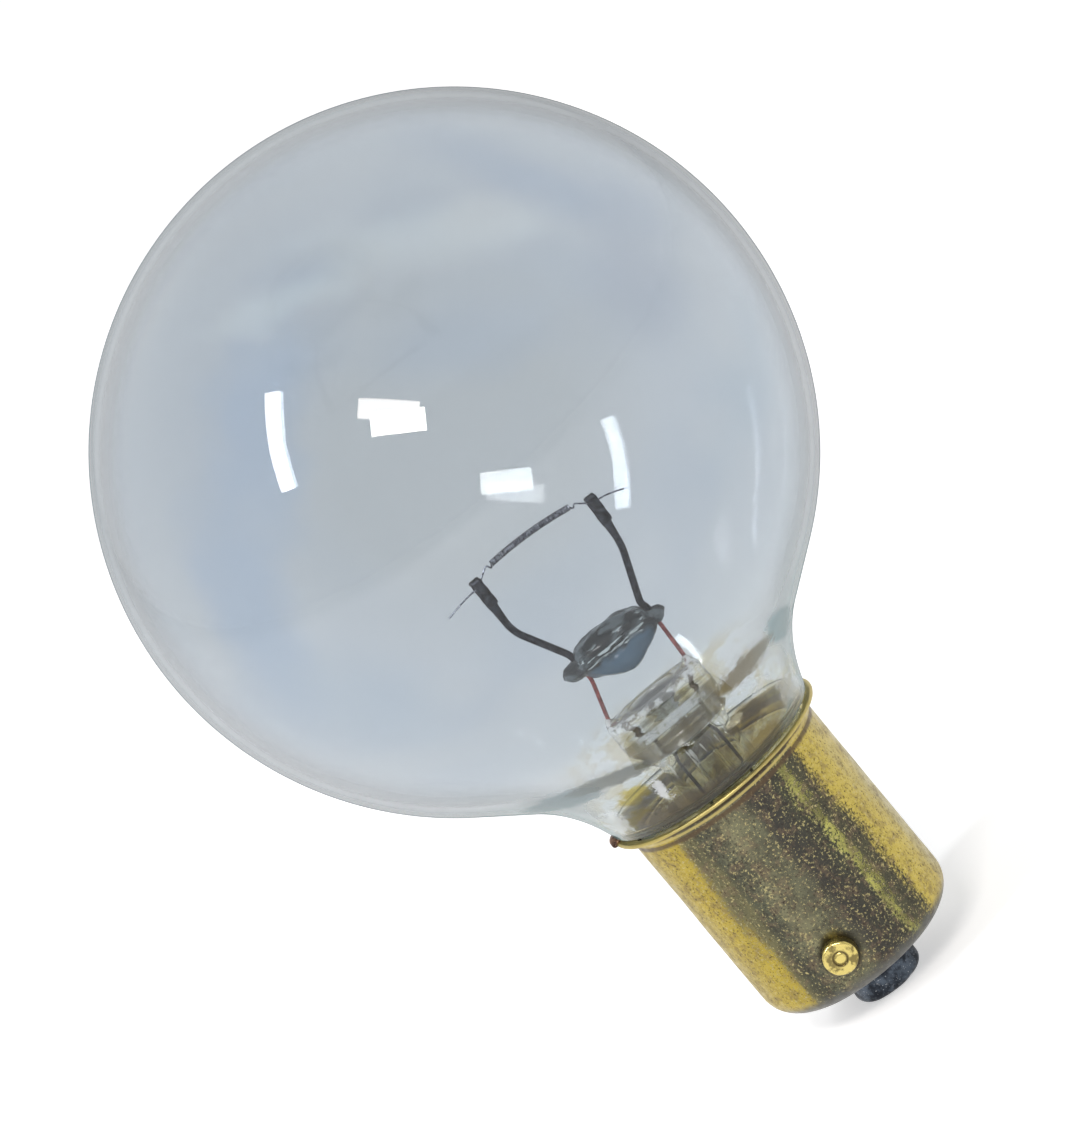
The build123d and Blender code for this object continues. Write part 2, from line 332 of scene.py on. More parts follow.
class Reading:
    """What a node gives. A number can be added to, taken away and so on."""

    def __init__(self, tree, socket):
        self.tree, self.socket = tree, socket

    def __add__(self, other):
        return maths("ADD", self, other)

    def __sub__(self, other):
        return maths("SUBTRACT", self, other)

    def __rsub__(self, other):
        return maths("SUBTRACT", other, self)

    def __mul__(self, other):
        return maths("MULTIPLY", self, other)

    def __truediv__(self, other):
        return maths("DIVIDE", self, other)

    def __abs__(self):
        return maths("ABSOLUTE", self)


def fill(node, inputs):
    """Joins or sets inputs of a node."""
    for key, value in inputs.items():
        if isinstance(value, Reading):
            value.tree.links.new(value.socket, node.inputs[key])
        else:
            node.inputs[key].default_value = value


def put(tree, kind, inputs=None, out=0, **settings):
    """Adds a node, joins or sets its inputs and returns one of its outputs."""
    made = tree.nodes.new(kind)
    for key, value in settings.items():
        setattr(made, key, value)
    fill(made, inputs or {})
    return Reading(tree, made.outputs[out])


def tree_of(values):
    """The node tree of the first reading among values."""
    return next(v.tree for v in values if isinstance(v, Reading))


def maths(operation, *values):
    return put(tree_of(values), "ShaderNodeMath", dict(enumerate(values)), operation=operation)


def most(a, b):
    return maths("MAXIMUM", a, b)


def off(value, middle):
    """How far a value is from a middle one."""
    return abs(value - middle)


def point(*values):
    """A place from its parts."""
    return put(tree_of(values), "ShaderNodeCombineXYZ", dict(enumerate(values)))


def parts(place):
    """The three parts of a place."""
    split = put(place.tree, "ShaderNodeSeparateXYZ", {0: place}).socket.node
    return [Reading(place.tree, end) for end in split.outputs]


def length_of(place):
    return put(place.tree, "ShaderNodeVectorMath", {0: place}, out=1, operation="LENGTH")


def reach_along(place, way):
    """How far a place lies along a direction."""
    return put(place.tree, "ShaderNodeVectorMath", {0: place, 1: way}, out=1,
               operation="DOT_PRODUCT")


def rays(tree, *kinds):
    """1 for a ray of those kinds and 0 for the rest."""
    path = tree.nodes.new("ShaderNodeLightPath")
    found = [Reading(tree, path.outputs[f"Is {kind} Ray"]) for kind in kinds]
    share = found[0]
    for other in found[1:]:
        share = most(share, other)
    return share


def new_tree(name, inputs):
    """A geometry node tree with named inputs and one output."""
    tree = bpy.data.node_groups.new(name, "GeometryNodeTree")
    for label, kind in inputs.items():
        tree.interface.new_socket(label, in_out="INPUT", socket_type="NodeSocket" + kind)
    tree.interface.new_socket("Piece", in_out="OUTPUT", socket_type="NodeSocketGeometry")
    given = tree.nodes.new("NodeGroupInput")
    return tree, {label: Reading(tree, given.outputs[label]) for label in inputs}


def end_tree(tree, shape, finish):
    """Ends a tree in real faces with a smooth skin and a material."""
    real = put(tree, "GeometryNodeRealizeInstances", {0: shape})
    smooth = put(tree, "GeometryNodeSetShadeSmooth", {"Geometry": real})
    dressed = put(tree, "GeometryNodeSetMaterial", {"Geometry": smooth, "Material": finish})
    fill(tree.nodes.new("NodeGroupOutput"), {0: dressed})


def grown(name, tree, outline, values):
    """Runs a tree on a mesh and returns the plain mesh that comes out."""
    base = in_scene(name + "_outline", outline)
    modifier = base.modifiers.new("grow", "NODES")
    modifier.node_group = tree
    for item in tree.interface.items_tree:
        if item.in_out == "INPUT" and item.name in values:
            modifier[item.identifier] = values[item.name]
    bpy.context.view_layer.update()
    graph = bpy.context.evaluated_depsgraph_get()
    mesh = bpy.data.meshes.new_from_object(base.evaluated_get(graph))
    mesh.name = name
    base.modifiers.remove(modifier)
    bpy.data.objects.remove(base)
    return mesh


def turning_tree():
    """A tree that turns an outline, a row of points in X and Z, about the lamp's axis."""
    tree, given = new_tree("turn_about_axis", {
        "Outline": "Geometry", "Steps Round": "Int", "Finish": "Material"})
    count = put(tree, "GeometryNodeAttributeDomainSize", {0: given["Outline"]})
    sheet = put(tree, "GeometryNodeMeshGrid",
                {0: 1.0, 1: 1.0, 2: count, 3: given["Steps Round"] + 1.0})
    across, up, _ = parts(put(tree, "GeometryNodeInputPosition"))
    row = maths("ROUND", (across + 0.5) * (count - 1.0))
    turn = (up + 0.5) * (2 * math.pi)
    drawn = put(tree, "GeometryNodeSampleIndex", {
        "Geometry": given["Outline"], "Value": put(tree, "GeometryNodeInputPosition"),
        "Index": row}, data_type="FLOAT_VECTOR")
    radius, _, height = parts(drawn)
    place = point(radius * maths("COSINE", turn), radius * maths("SINE", turn), height)
    skin = put(tree, "GeometryNodeSetPosition", {"Geometry": sheet, "Position": place})
    closed = put(tree, "GeometryNodeMergeByDistance", {"Geometry": skin, "Distance": 1e-4 * MM})
    end_tree(tree, closed, given["Finish"])
    return tree


def coil_tree():
    """A tree that winds the filament's wire into a close, slightly bowed coil along Z."""
    tree, given = new_tree("wind_coil", {
        "Outline": "Geometry", "Turns": "Float", "Coil Radius": "Float",
        "Wire Radius": "Float", "Length": "Float", "Bow": "Float", "Finish": "Material"})
    helix = put(tree, "GeometryNodeCurveSpiral", {
        "Resolution": 14, "Rotations": given["Turns"], "Start Radius": given["Coil Radius"],
        "End Radius": given["Coil Radius"], "Height": given["Length"]})
    middle = put(tree, "GeometryNodeSplineParameter") * 2.0 - 1.0
    lift = point((1.0 - middle * middle) * given["Bow"])
    bowed = put(tree, "GeometryNodeSetPosition", {"Geometry": helix, "Offset": lift})
    section = put(tree, "GeometryNodeCurvePrimitiveCircle",
                  {"Resolution": 7, "Radius": given["Wire Radius"]})
    wound = put(tree, "GeometryNodeCurveToMesh",
                {"Curve": bowed, "Profile Curve": section, "Fill Caps": True})
    end_tree(tree, wound, given["Finish"])
    return tree


turning = turning_tree()
winding = coil_tree()


def turned(name, outline, steps, finish, crease=40):
    """A piece of revolution from its outline of points (radius, height)."""
    row = bpy.data.meshes.new(name + "_outline")
    row.from_pydata([(r * MM, 0.0, z * MM) for r, z in outline], [], [])
    mesh = grown(name, turning, row, {"Steps Round": steps, "Finish": finish})
    tidy_mesh(mesh, crease)
    return mesh


# Materials


def new_finish(name):
    """A material with its Principled shader, and a point of the piece in millimetres."""
    material = bpy.data.materials.new(name)
    material.use_nodes = True
    tree = material.node_tree
    place = put(tree, "ShaderNodeTexCoord", out=3)
    place = put(tree, "ShaderNodeVectorMath", {0: place, 1: (1 / MM,) * 3}, operation="MULTIPLY")
    return material, tree.nodes["Principled BSDF"], place


def give(shader, **values):
    """Joins or sets inputs of a shader by their names."""
    fill(shader, {name.replace("_", " "): value for name, value in values.items()})


def grain(place, size, detail=3.0, rough=0.55, stretch=(1, 1, 1), shift=0.0):
    """Noise from 0 to 1 whose lumps are about that many millimetres across."""
    scale = tuple(1 / (size * s) for s in stretch)
    spot = put(place.tree, "ShaderNodeMapping",
               {0: place, "Scale": scale, "Location": (shift,) * 3})
    return put(place.tree, "ShaderNodeTexNoise",
               {"Vector": spot, "Scale": 1.0, "Detail": detail, "Roughness": rough})


def between(value, low, high, at_low=0.0, at_high=1.0):
    """value eased from one number to another as it goes from low to high."""
    return put(value.tree, "ShaderNodeMapRange",
               {0: value, 1: low, 2: high, 3: at_low, 4: at_high},
               interpolation_type="SMOOTHSTEP")


def fading(value, low, high, at_low=1.0):
    """A share that eases down to 0 as value goes from low to high."""
    return between(value, low, high, at_low, 0.0)


def centred(value, reach):
    """A noise of 0 to 1 as a swing of up to reach to each side of 0."""
    return (value - 0.5) * (2 * reach)


def blend(share, a, b):
    """Mixes two colours, given as readings or as linear red, green and blue."""
    a, b = (c if isinstance(c, Reading) else (*c, 1.0) for c in (a, b))
    return put(share.tree, "ShaderNodeMix", {0: share, 6: a, 7: b}, out=2, data_type="RGBA")


def relief(shader, height, depth, strength, below=None):
    """Gives a shader the small relief of a height from 0 to 1, depth in millimetres."""
    values = {"Height": height, "Distance": depth * MM, "Strength": strength}
    if below:
        values["Normal"] = below
    bumped = put(height.tree, "ShaderNodeBump", values)
    give(shader, Normal=bumped)
    return bumped


def edge_on(place):
    """From 0 where a surface is seen straight to 1 where it is seen edge on."""
    return put(place.tree, "ShaderNodeLayerWeight", {"Blend": 0.5}, out=1)


def on_mount(place, middle=0.0):
    """A place in the mount's own directions, measured from a middle."""
    return put(place.tree, "ShaderNodeMapping",
               {0: place, "Rotation": (0, 0, -mount_turn), "Location": (-middle, 0, 0)})


def from_pin(place):
    """How far a place is from the axis of the two pins."""
    x, _, z = parts(place)
    return length_of(point(x, 0.0, z))


def let_lamps_through(material, tint):
    """Lets the lamps' light straight through a glass, where it would else cast a dark shadow."""
    tree = material.node_tree
    glass = Reading(tree, tree.nodes["Principled BSDF"].outputs[0])
    clear = put(tree, "ShaderNodeBsdfTransparent", {0: (*tint, 1.0)})
    mixed = put(tree, "ShaderNodeMixShader",
                {0: rays(tree, "Shadow", "Diffuse"), 1: glass, 2: clear})
    fill(tree.nodes["Material Output"], {"Surface": mixed})


# Painted reflections of the brass cap and its cement on the front of the neck, with painted
# highlights and dark painted bands: the middle of each across the lamp and along it, half its width
# and height, its slant in degrees, its colour, how much of it there is and how far it clouds the
# glass
neck_painted_reflections = [
    (-9.3, 21.4, 2.8, 1.3, -18, (0.26, 0.34, 0.38), 0.9, 0.5),
    (-6.0, 21.0, 3.2, 0.8, -15, (0.15, 0.17, 0.16), 0.9, 0.4),
    (9.5, 21.0, 1.3, 1.7, 0, (0.27, 0.42, 0.46), 0.85, 0.5),
    (5.8, 21.2, 2.9, 0.95, 0, (0.17, 0.13, 0.05), 0.9, 0.3),
    (3.8, 17.6, 1.6, 1.1, 0, (0.26, 0.2, 0.07), 0.85, 0.0),
    (-4.0, 15.3, 2.7, 0.95, 0, (0.24, 0.2, 0.15), 0.85, 0.1),
    (-0.8, 14.9, 2.4, 0.7, 0, (0.25, 0.21, 0.16), 0.8, 0.1),
    (3.4, 15.1, 1.9, 0.9, 0, (0.34, 0.26, 0.08), 0.8, 0.1),
    (-6.4, 16.1, 1.4, 0.5, 30, (0.4, 0.33, 0.07), 0.95, 0.1),
    (-5.4, 18.2, 1.15, 0.8, 10, (0.5, 0.42, 0.06), 0.95, 0.1),
    (-3.8, 17.5, 0.4, 1.1, 0, (0.9, 0.93, 0.97), 0.9, 0.55),
    (-7.6, 16.6, 0.7, 1.5, 0, (0.86, 0.91, 0.94), 0.8, 0.4),
    (5.7, 18.6, 0.9, 0.45, 15, (0.78, 0.82, 0.84), 0.8, 0.35),
    (3.0, 18.1, 0.7, 0.4, 10, (0.78, 0.77, 0.6), 0.8, 0.3),
    (7.1, 16.2, 0.8, 1.3, 0, (0.72, 0.72, 0.66), 0.8, 0.35),
]

# Painted reflections of the room on the front of the globe, in the same way: a broken dark blue
# ring with pale painted highlight streaks above it
globe_painted_reflections = [
    (-4.6, 60.0, 5.2, 2.0, 24, (0.53, 0.615, 0.73), 0.7, 0.0),
    (-10.8, 55.2, 5.2, 2.1, 54, (0.53, 0.615, 0.73), 0.7, 0.0),
    (-16.4, 49.2, 5.2, 2.1, 68, (0.52, 0.605, 0.72), 0.7, 0.0),
    (-18.2, 43.0, 4.6, 2.2, 85, (0.53, 0.61, 0.71), 0.7, 0.0),
    (4.4, 53.9, 5.6, 2.0, -29, (0.55, 0.615, 0.7), 0.6, 0.0),
    (8.2, 58.9, 7.2, 1.3, -28, (0.76, 0.8, 0.81), 0.7, 0.0),
    (-1.8, 61.5, 4.6, 0.9, -10, (0.74, 0.8, 0.83), 0.7, 0.0),
    (16.0, 55.8, 7.0, 1.3, -58, (0.54, 0.6, 0.68), 0.8, 0.0),
    (17.1, 48.1, 4.0, 3.3, -85, (0.54, 0.585, 0.65), 0.8, 0.0),
    (17.0, 37.3, 5.0, 2.5, 40, (0.54, 0.61, 0.67), 0.7, 0.0),
    (-15.0, 37.3, 5.4, 3.0, -70, (0.57, 0.635, 0.7), 0.7, 0.0),
    (-0.9, 36.4, 5.2, 2.8, -5, (0.58, 0.63, 0.68), 0.6, 0.0),
]


def paint_reflections_on(place, colour, painted_marks, ragged, edge):
    """The colour with painted reflections and painted highlights on the front of the glass, how far
    they cloud it and how much of them there is. Their outline wanders by a noise, and edge is where
    it fades out."""
    height = parts(place)[2]
    front = between(reach_along(place, towards_front), 0.0, 0.5)
    spot = point(reach_along(place, across_mount) + ragged, height - ragged)
    film, marked = 0.0, 0.0
    for across, up, wide, high, slant, tint, share, cloud in painted_marks:
        own = put(place.tree, "ShaderNodeMapping", {
            0: spot, "Location": (across, up, 0), "Rotation": (0, 0, math.radians(slant)),
            "Scale": (wide, high, 1)}, vector_type="TEXTURE")
        painted_mark = front * fading(length_of(own), *edge, share)
        colour = blend(painted_mark, colour, tint)
        marked = most(marked, painted_mark)
        if cloud:
            film = most(film, painted_mark * cloud)
    return colour, film, marked


def clear_glass():
    """The globe's glass: pale blue-grey, bluer in a broad clouded ring that is a painted reflection
    of the room, with pale painted highlights, and a darker teal cast where it is seen edge on,
    partly the glass's tint and partly painted shade. The neck is clear, with yellow patches that
    are a painted reflection of the brass cap, and painted reflections and highlights on its front."""
    material, shader, place = new_finish("clear_globe_glass")
    edge = edge_on(place)
    height = parts(place)[2]
    cloud = between(grain(place, 15.0, detail=1.0), 0.36, 0.62, 0.1)
    inside = between(edge, 0.05, 0.12)
    # painted reflection: a broad bluer ring by how edge on the glass is seen, for the room's darker
    # band that the globe mirrors
    ring = inside * fading(edge, 0.24, 0.42)
    colour = blend(inside, (0.615, 0.65, 0.675), (0.645, 0.682, 0.715))
    colour = blend(ring * cloud, colour, (0.6, 0.645, 0.69))
    drift = centred(grain(place, 6.0, detail=2.0, shift=6.0), 1.8)
    # painted reflections of the room on the front of the globe
    colour, _, _ = paint_reflections_on(place, colour, globe_painted_reflections, drift, (0.2, 1.75))
    # painted highlight: paler streaks in the ring
    pale_painted_streak = between(grain(place, 9.0, detail=1.0, stretch=(2, 1, 1), shift=4.0), 0.5, 0.7)
    colour = blend(ring * pale_painted_streak * 0.5, colour, (0.67, 0.695, 0.71))
    # painted reflection of the brass cap: yellow patches on the neck
    patch = grain(place, 1.6, detail=4.0, rough=0.65, stretch=(1.5, 1.5, 0.8), shift=9.0)
    clear = blend(between(patch, 0.47, 0.55), (0.68, 0.72, 0.73), (0.6, 0.56, 0.4))
    low = fading(height, lip_top + 3.0, lip_top + 4.5)
    clear = blend(low, (0.63, 0.67, 0.68), clear)
    colour = blend(fading(height, lip_top + 1, lip_top + 9), colour, clear)
    # painted reflections of the cap and its cement, and painted highlights, on the front of the
    # neck
    rag = centred(grain(place, 0.9, detail=5.0, rough=0.75, shift=2.0), 1.1)
    colour, film, marked = paint_reflections_on(place, colour, neck_painted_reflections, rag, (0.75, 1.15))
    hidden = fading(height, lip_top - 0.4, lip_top - 0.1)
    colour = blend(hidden, colour, (0.97, 0.97, 0.92))
    # painted shade at the edge: a darker teal where the glass is seen edge on, partly its own tint
    # and partly standing in for the dark room that the edge mirrors and bends
    throat = fading(height, lip_top + 6, lip_top + 14)
    rim_tint_and_shade = blend(throat, (0.15, 0.2, 0.23), (0.14, 0.24, 0.25))
    colour = blend(between(edge, 0.6, 0.9), colour, rim_tint_and_shade)
    haze = between(edge, 0.56, 0.93, 1.0, 0.1) * (1.0 - film)
    shine = fading(edge, 0.6, 0.95, 0.5) * (1.0 - marked * 0.8)
    relief(shader, grain(place, 6.0, detail=1.0), 0.0025, 0.6)
    give(shader, Base_Color=colour, Transmission_Weight=haze, Specular_IOR_Level=shine,
         Roughness=0.0, IOR=1.38)
    let_lamps_through(material, (0.9, 0.92, 0.92))
    return material


def stem_glass():
    """The stem's glass: clear and thick, with drawn streaks, yellow-brown patches that are a
    painted reflection of the brass cap, pale painted highlights on the press's top edge, along its
    foot and in streaks down the tube, painted shade in the hollow where the pump's mouth opens, and
    a dark band of painted shade under the press."""
    material, shader, place = new_finish("clear_stem_glass")
    streak = grain(place, 0.45, stretch=(1, 1, 8))
    colour = blend(between(streak, 0.5, 0.7), (0.98, 0.99, 0.98), (0.74, 0.74, 0.66))
    # painted reflection of the brass cap: yellow-brown patches
    brass_reflection_patch = between(grain(place, 1.3, detail=4.0, rough=0.65, shift=8.0), 0.46, 0.6)
    colour = blend(brass_reflection_patch * 0.6, colour, (0.66, 0.58, 0.36))
    # painted shade in the hollow of the pump's mouth
    across, deep, height = parts(on_mount(place, press_offset))
    away = length_of(point(across / mouth_half_width, deep / mouth_half_depth))
    mouth_painted_shade = between(height, press_top - 1.3, press_top - 1.0) * fading(away, 0.9, 1.15)
    colour = blend(mouth_painted_shade * 0.95, colour, (0.02, 0.025, 0.03))
    # painted highlights: a pale band on the press's top edge, along its foot and in streaks down
    # the tube, with less light through there
    top = between(height, press_top - 0.75, press_top - 0.35)
    cloud = between(grain(place, 0.7, shift=2.0), 0.42, 0.58, 0.15, 0.75)
    painted_highlights = top * between(away, 1.3, 1.7) * cloud
    broken = grain(place, 0.5, detail=4.0, rough=0.65, stretch=(2, 2, 1), shift=3.0)
    foot_painted_highlight = fading(off(height, press_bottom + 0.3), 0.22, 0.42)
    foot_painted_highlight = foot_painted_highlight * fading(abs(across), 2.2, 3.2, 0.8) * between(broken, 0.34, 0.52, 0.35)
    tube_painted_highlight = between(streak, 0.58, 0.68, 0.0, 0.5)
    tube_painted_highlight = tube_painted_highlight * fading(height, press_bottom - 2.0, press_bottom - 1.2)
    tube_painted_highlight = tube_painted_highlight * between(height, press_bottom - 3.6, press_bottom - 2.6)
    painted_highlights = most(painted_highlights, most(foot_painted_highlight, tube_painted_highlight))
    colour = blend(painted_highlights, colour, (0.9, 0.93, 0.96))
    # painted shade: a dark band under the press
    under = fading(off(height, press_bottom - 0.65), 0.35, 0.6, 0.9)
    under = under * between(streak, 0.3, 0.5, 0.6)
    colour = blend(under, colour, (0.24, 0.2, 0.15))
    solid = most(mouth_painted_shade * 0.85, under * 0.6)
    relief(shader, grain(place, 1.1, detail=1.0, stretch=(1, 1, 4)), 0.012, 0.7)
    give(shader, Base_Color=colour, Transmission_Weight=1.0 - most(painted_highlights, solid),
         Roughness=0.01, IOR=1.3)
    let_lamps_through(material, (0.95, 0.96, 0.95))
    return material


def bead_glass():
    """The bead's glass: near black above, a clouded blue below, dark again at its ends, with bright
    painted highlight streaks along its shoulder."""
    material, shader, place = new_finish("dark_bead_glass")
    own = on_mount(place)
    across, _, height = parts(own)
    level = height + centred(grain(place, 1.1, detail=2.0, shift=5.0), 0.7)
    low = fading(level, 24.35, 24.95)
    ends = fading(abs(across), 2.3, 3.0)
    pool = between(grain(own, 0.9, stretch=(2, 1, 1), shift=6.0), 0.46, 0.62)
    colour = blend(pool, (0.01, 0.014, 0.017), (0.13, 0.155, 0.17))
    colour = blend(low * ends, colour, (0.085, 0.155, 0.23))
    # painted highlight: bright streaks along the bead's shoulder
    streak = grain(own, 0.28, detail=2.0, stretch=(6, 1, 1), shift=2.0)
    shoulder = fading(off(level, bead_shoulder), 0.3, 0.7)
    bead_painted_highlight = between(streak, 0.55, 0.62) * (shoulder * ends)
    colour = blend(bead_painted_highlight, colour, (0.7, 0.78, 0.8))
    relief(shader, grain(own, 0.8, detail=2.0, stretch=(3, 1, 1)), 0.12, 0.7)
    give(shader, Base_Color=colour, Roughness=0.12, IOR=1.4, Transmission_Weight=0.12)
    return material


def wire_metal(name, dark, pale, roughness, size=0.35, edge=0.0, buried=None):
    """Drawn wire: fine marks along it and a blotched oxide. It may take painted shade where it is
    seen edge on, which leaves a painted highlight along its middle, and it is grey where it is
    buried in the press."""
    material, shader, place = new_finish(name)
    blotch = grain(place, size, detail=5.0, rough=0.65)
    colour = blend(between(blotch, 0.38, 0.66), dark, pale)
    # painted shade: darker where the wire is seen edge on, which leaves a painted highlight along
    # its middle
    if edge:
        colour = blend(between(edge_on(place), 0.15, 0.6, 0.0, edge), colour, dark)
    if buried:
        below = fading(parts(place)[2], buried - 0.4, buried)
        colour = blend(below, colour, (0.2, 0.16, 0.14))
    rough = between(blotch, 0.3, 0.7, roughness + 0.12, roughness - 0.08)
    relief(shader, grain(place, 0.08), 0.01, 0.7)
    give(shader, Base_Color=colour, Roughness=rough, Metallic=1.0)
    return material


# The cap's colour across its side, from one edge (-1) to the other (1), as linear colour: partly
# tarnish and partly painted reflection, with yellow edges for the pale room that the brass mirrors
# there, a dark middle for the dimmer side the camera stands on, and a narrow painted highlight at
# 0.43 to 0.46
tarnish_and_reflection_bands = [
    (-1.0, (0.42, 0.32, 0.05)), (-0.9, (0.45, 0.34, 0.055)), (-0.75, (0.47, 0.36, 0.06)),
    (-0.66, (0.17, 0.155, 0.08)), (-0.5, (0.085, 0.09, 0.065)), (-0.3, (0.2, 0.19, 0.115)),
    (-0.1, (0.15, 0.15, 0.095)), (0.08, (0.058, 0.055, 0.05)), (0.31, (0.065, 0.065, 0.05)),
    (0.39, (0.08, 0.085, 0.055)), (0.43, (0.44, 0.43, 0.12)), (0.46, (0.42, 0.4, 0.11)),
    (0.5, (0.08, 0.08, 0.055)), (0.63, (0.09, 0.085, 0.055)), (0.71, (0.51, 0.4, 0.085)),
    (0.88, (0.52, 0.41, 0.11)), (1.0, (0.44, 0.37, 0.16)),
]


def colour_bands(value, bands):
    """Colours that change along a value from -1 to 1."""
    share = between(value, -1.0, 1.0)
    share.socket.node.interpolation_type = "LINEAR"
    shown = put(value.tree, "ShaderNodeValToRGB", {0: share})
    ramp = shown.socket.node.color_ramp
    for where, _ in bands[1:-1]:
        ramp.elements.new((where + 1) / 2)
    for element, (where, colour) in zip(ramp.elements, bands):
        element.position = (where + 1) / 2
        element.color = (*colour, 1.0)
    return shown


def tarnished_brass():
    """The cap's brass in long bands across the side the camera sees: yellow at both edges, partly
    rubbed brass and partly a painted reflection of the pale room, and a broad dark speckled middle,
    partly tarnish and partly a painted reflection of the dimmer camera side, with a narrow painted
    highlight streak through it, a brown lip, a dark ring round each pin and a dark turned-in end."""
    material, shader, place = new_finish("tarnished_cap_brass")
    height = parts(place)[2]
    drawn = grain(place, 1.1, stretch=(1, 1, 6), shift=3.0)
    speck = grain(place, 0.2, rough=0.75, shift=7.0)
    mottle = grain(place, 0.8, detail=5.0, rough=0.7, shift=1.0)
    cloud = between(grain(place, 1.7, detail=4.0, rough=0.65, shift=12.0), 0.36, 0.62)
    # painted reflection and tarnish: the bands run across the side that faces the camera
    side = reach_along(place, across_mount) / shell_radius
    where = side + centred(drawn, 0.16) + centred(speck, 0.2)
    colour = colour_bands(where, tarnish_and_reflection_bands)
    # painted reflection: darker clouds over the middle of the bands
    dark = between(off(where, 0.02), 0.5, 0.7, 0.6, 0.12)
    end = fading(height + centred(mottle, 0.5), -2.9, -2.0, 0.85)
    for share, tint in [
        (cloud * dark, (0.05, 0.048, 0.042)),
        (between(mottle, 0.5, 0.62) * 0.45, (0.19, 0.14, 0.095)),
        (fading(speck, 0.35, 0.44) * 0.82, (0.045, 0.035, 0.03)),
        (between(speck, 0.57, 0.64) * 0.78, (0.5, 0.43, 0.2)),
        (lip_wear_and_highlight(height), (0.5, 0.41, 0.15)),
        (lip_darkening(height, mottle), (0.1, 0.07, 0.045)),
        (end, (0.11, 0.11, 0.1)),
        (fading(from_pin(place), 1.25, 1.75) * 0.85, (0.022, 0.02, 0.016)),
    ]:
        colour = blend(share, colour, tint)
    fine = relief(shader, speck, 0.02, 0.7)
    relief(shader, grain(place, 2.5, detail=1.0), 0.06, 0.6, below=fine)
    give(shader, Base_Color=colour, Roughness=between(mottle, 0.35, 0.65, 0.3, 0.5),
         Metallic=1.0)
    return material


def lip_darkening(height, mottle):
    """How dark brown the lip is: darker on the face of its curve, and in a line of painted shade
    under the curve, where it meets the barrel.
    """
    # the under band is painted shade where the lip's curve meets the barrel
    moved = height + centred(mottle, 0.12)
    under = between(moved, flare_start - 0.4, flare_start - 0.15)
    under = under * fading(moved, flare_start + 0.02, flare_start + 0.14)
    band = between(moved, flare_start + 0.45, flare_start + 0.57)
    band = band * fading(moved, lip_top - 0.38, lip_top - 0.26)
    return most(under, band) * 0.85


def lip_wear_and_highlight(height):
    """How bright the lip is: rubbed at its edge, and a painted highlight line where its curve
    begins.
    """
    edge = between(height, lip_top - 0.3, lip_top - 0.2)
    # painted highlight: a bright line where the lip's curve begins
    line = fading(off(height, flare_start + 0.3), 0.06, 0.15)
    return most(edge, line) * 0.8


def bright_brass(name, pale, dark, size, groove=None):
    """Rubbed brass of the pins and the eyelet, darker in blotches and in a ring-shaped
    groove round the axis of a pin."""
    material, shader, place = new_finish(name)
    blotch = grain(place, size, detail=4.0, rough=0.6)
    share = between(blotch, 0.47, 0.62, 0.0, 0.75)
    if groove:
        share = most(share, fading(off(from_pin(place), groove), 0.04, 0.17, 0.9))
    relief(shader, grain(place, 0.25), 0.02, 0.5)
    give(shader, Base_Color=blend(share, pale, dark),
         Roughness=between(blotch, 0.4, 0.7, 0.2, 0.4), Metallic=1.0)
    return material


def solder(name, dark, pale, speck, roughness):
    """Solder: cloudy, pitted and dusted with pale specks."""
    material, shader, place = new_finish(name)
    cloud = grain(place, 1.1, detail=5.0, rough=0.65)
    dust = grain(place, 0.12, detail=2.0, rough=0.6, shift=4.0)
    colour = blend(between(cloud, 0.4, 0.64), dark, pale)
    colour = blend(between(dust, 0.64, 0.72), colour, speck)
    rough = between(cloud, 0.35, 0.65, roughness + 0.15, roughness - 0.08)
    fine = relief(shader, dust, 0.04, 0.7)
    relief(shader, cloud, 0.12, 0.5, below=fine)
    give(shader, Base_Color=colour, Roughness=rough, Metallic=0.75)
    return material


def black_glass():
    """The insulator's fused black glass, glossy, with paler clouds in it."""
    material, shader, place = new_finish("black_fused_glass")
    flow = grain(place, 1.4, detail=4.0)
    colour = blend(between(flow, 0.45, 0.7), (0.012, 0.012, 0.016), (0.05, 0.05, 0.06))
    relief(shader, flow, 0.1, 0.6)
    give(shader, Base_Color=colour, Roughness=0.12, Coat_Weight=0.4)
    return material


def cement():
    """Matte tan cement with sandy grain and browner patches."""
    material, shader, place = new_finish("tan_basing_cement")
    sand = grain(place, 0.22, detail=5.0, rough=0.7)
    patch = grain(place, 2.2, shift=6.0)
    colour = blend(between(sand, 0.35, 0.65), (0.82, 0.7, 0.34), (0.95, 0.9, 0.7))
    colour = blend(between(patch, 0.5, 0.6), colour, (0.42, 0.34, 0.2))
    relief(shader, sand, 0.1, 0.8)
    give(shader, Base_Color=colour, Roughness=0.9)
    return material


globe_glass = clear_glass()
thick_glass = stem_glass()
bead_finish = bead_glass()
post_metal = wire_metal("dull_nickel_wire", (0.003, 0.004, 0.007), (0.05, 0.055, 0.07), 0.42)
dumet_metal = wire_metal("red_copper_clad_wire", (0.2, 0.025, 0.025), (0.5, 0.11, 0.1), 0.4,
                         buried=press_top)
lead_metal = wire_metal("dark_lead_wire", (0.005, 0.005, 0.006), (0.04, 0.04, 0.045), 0.5)
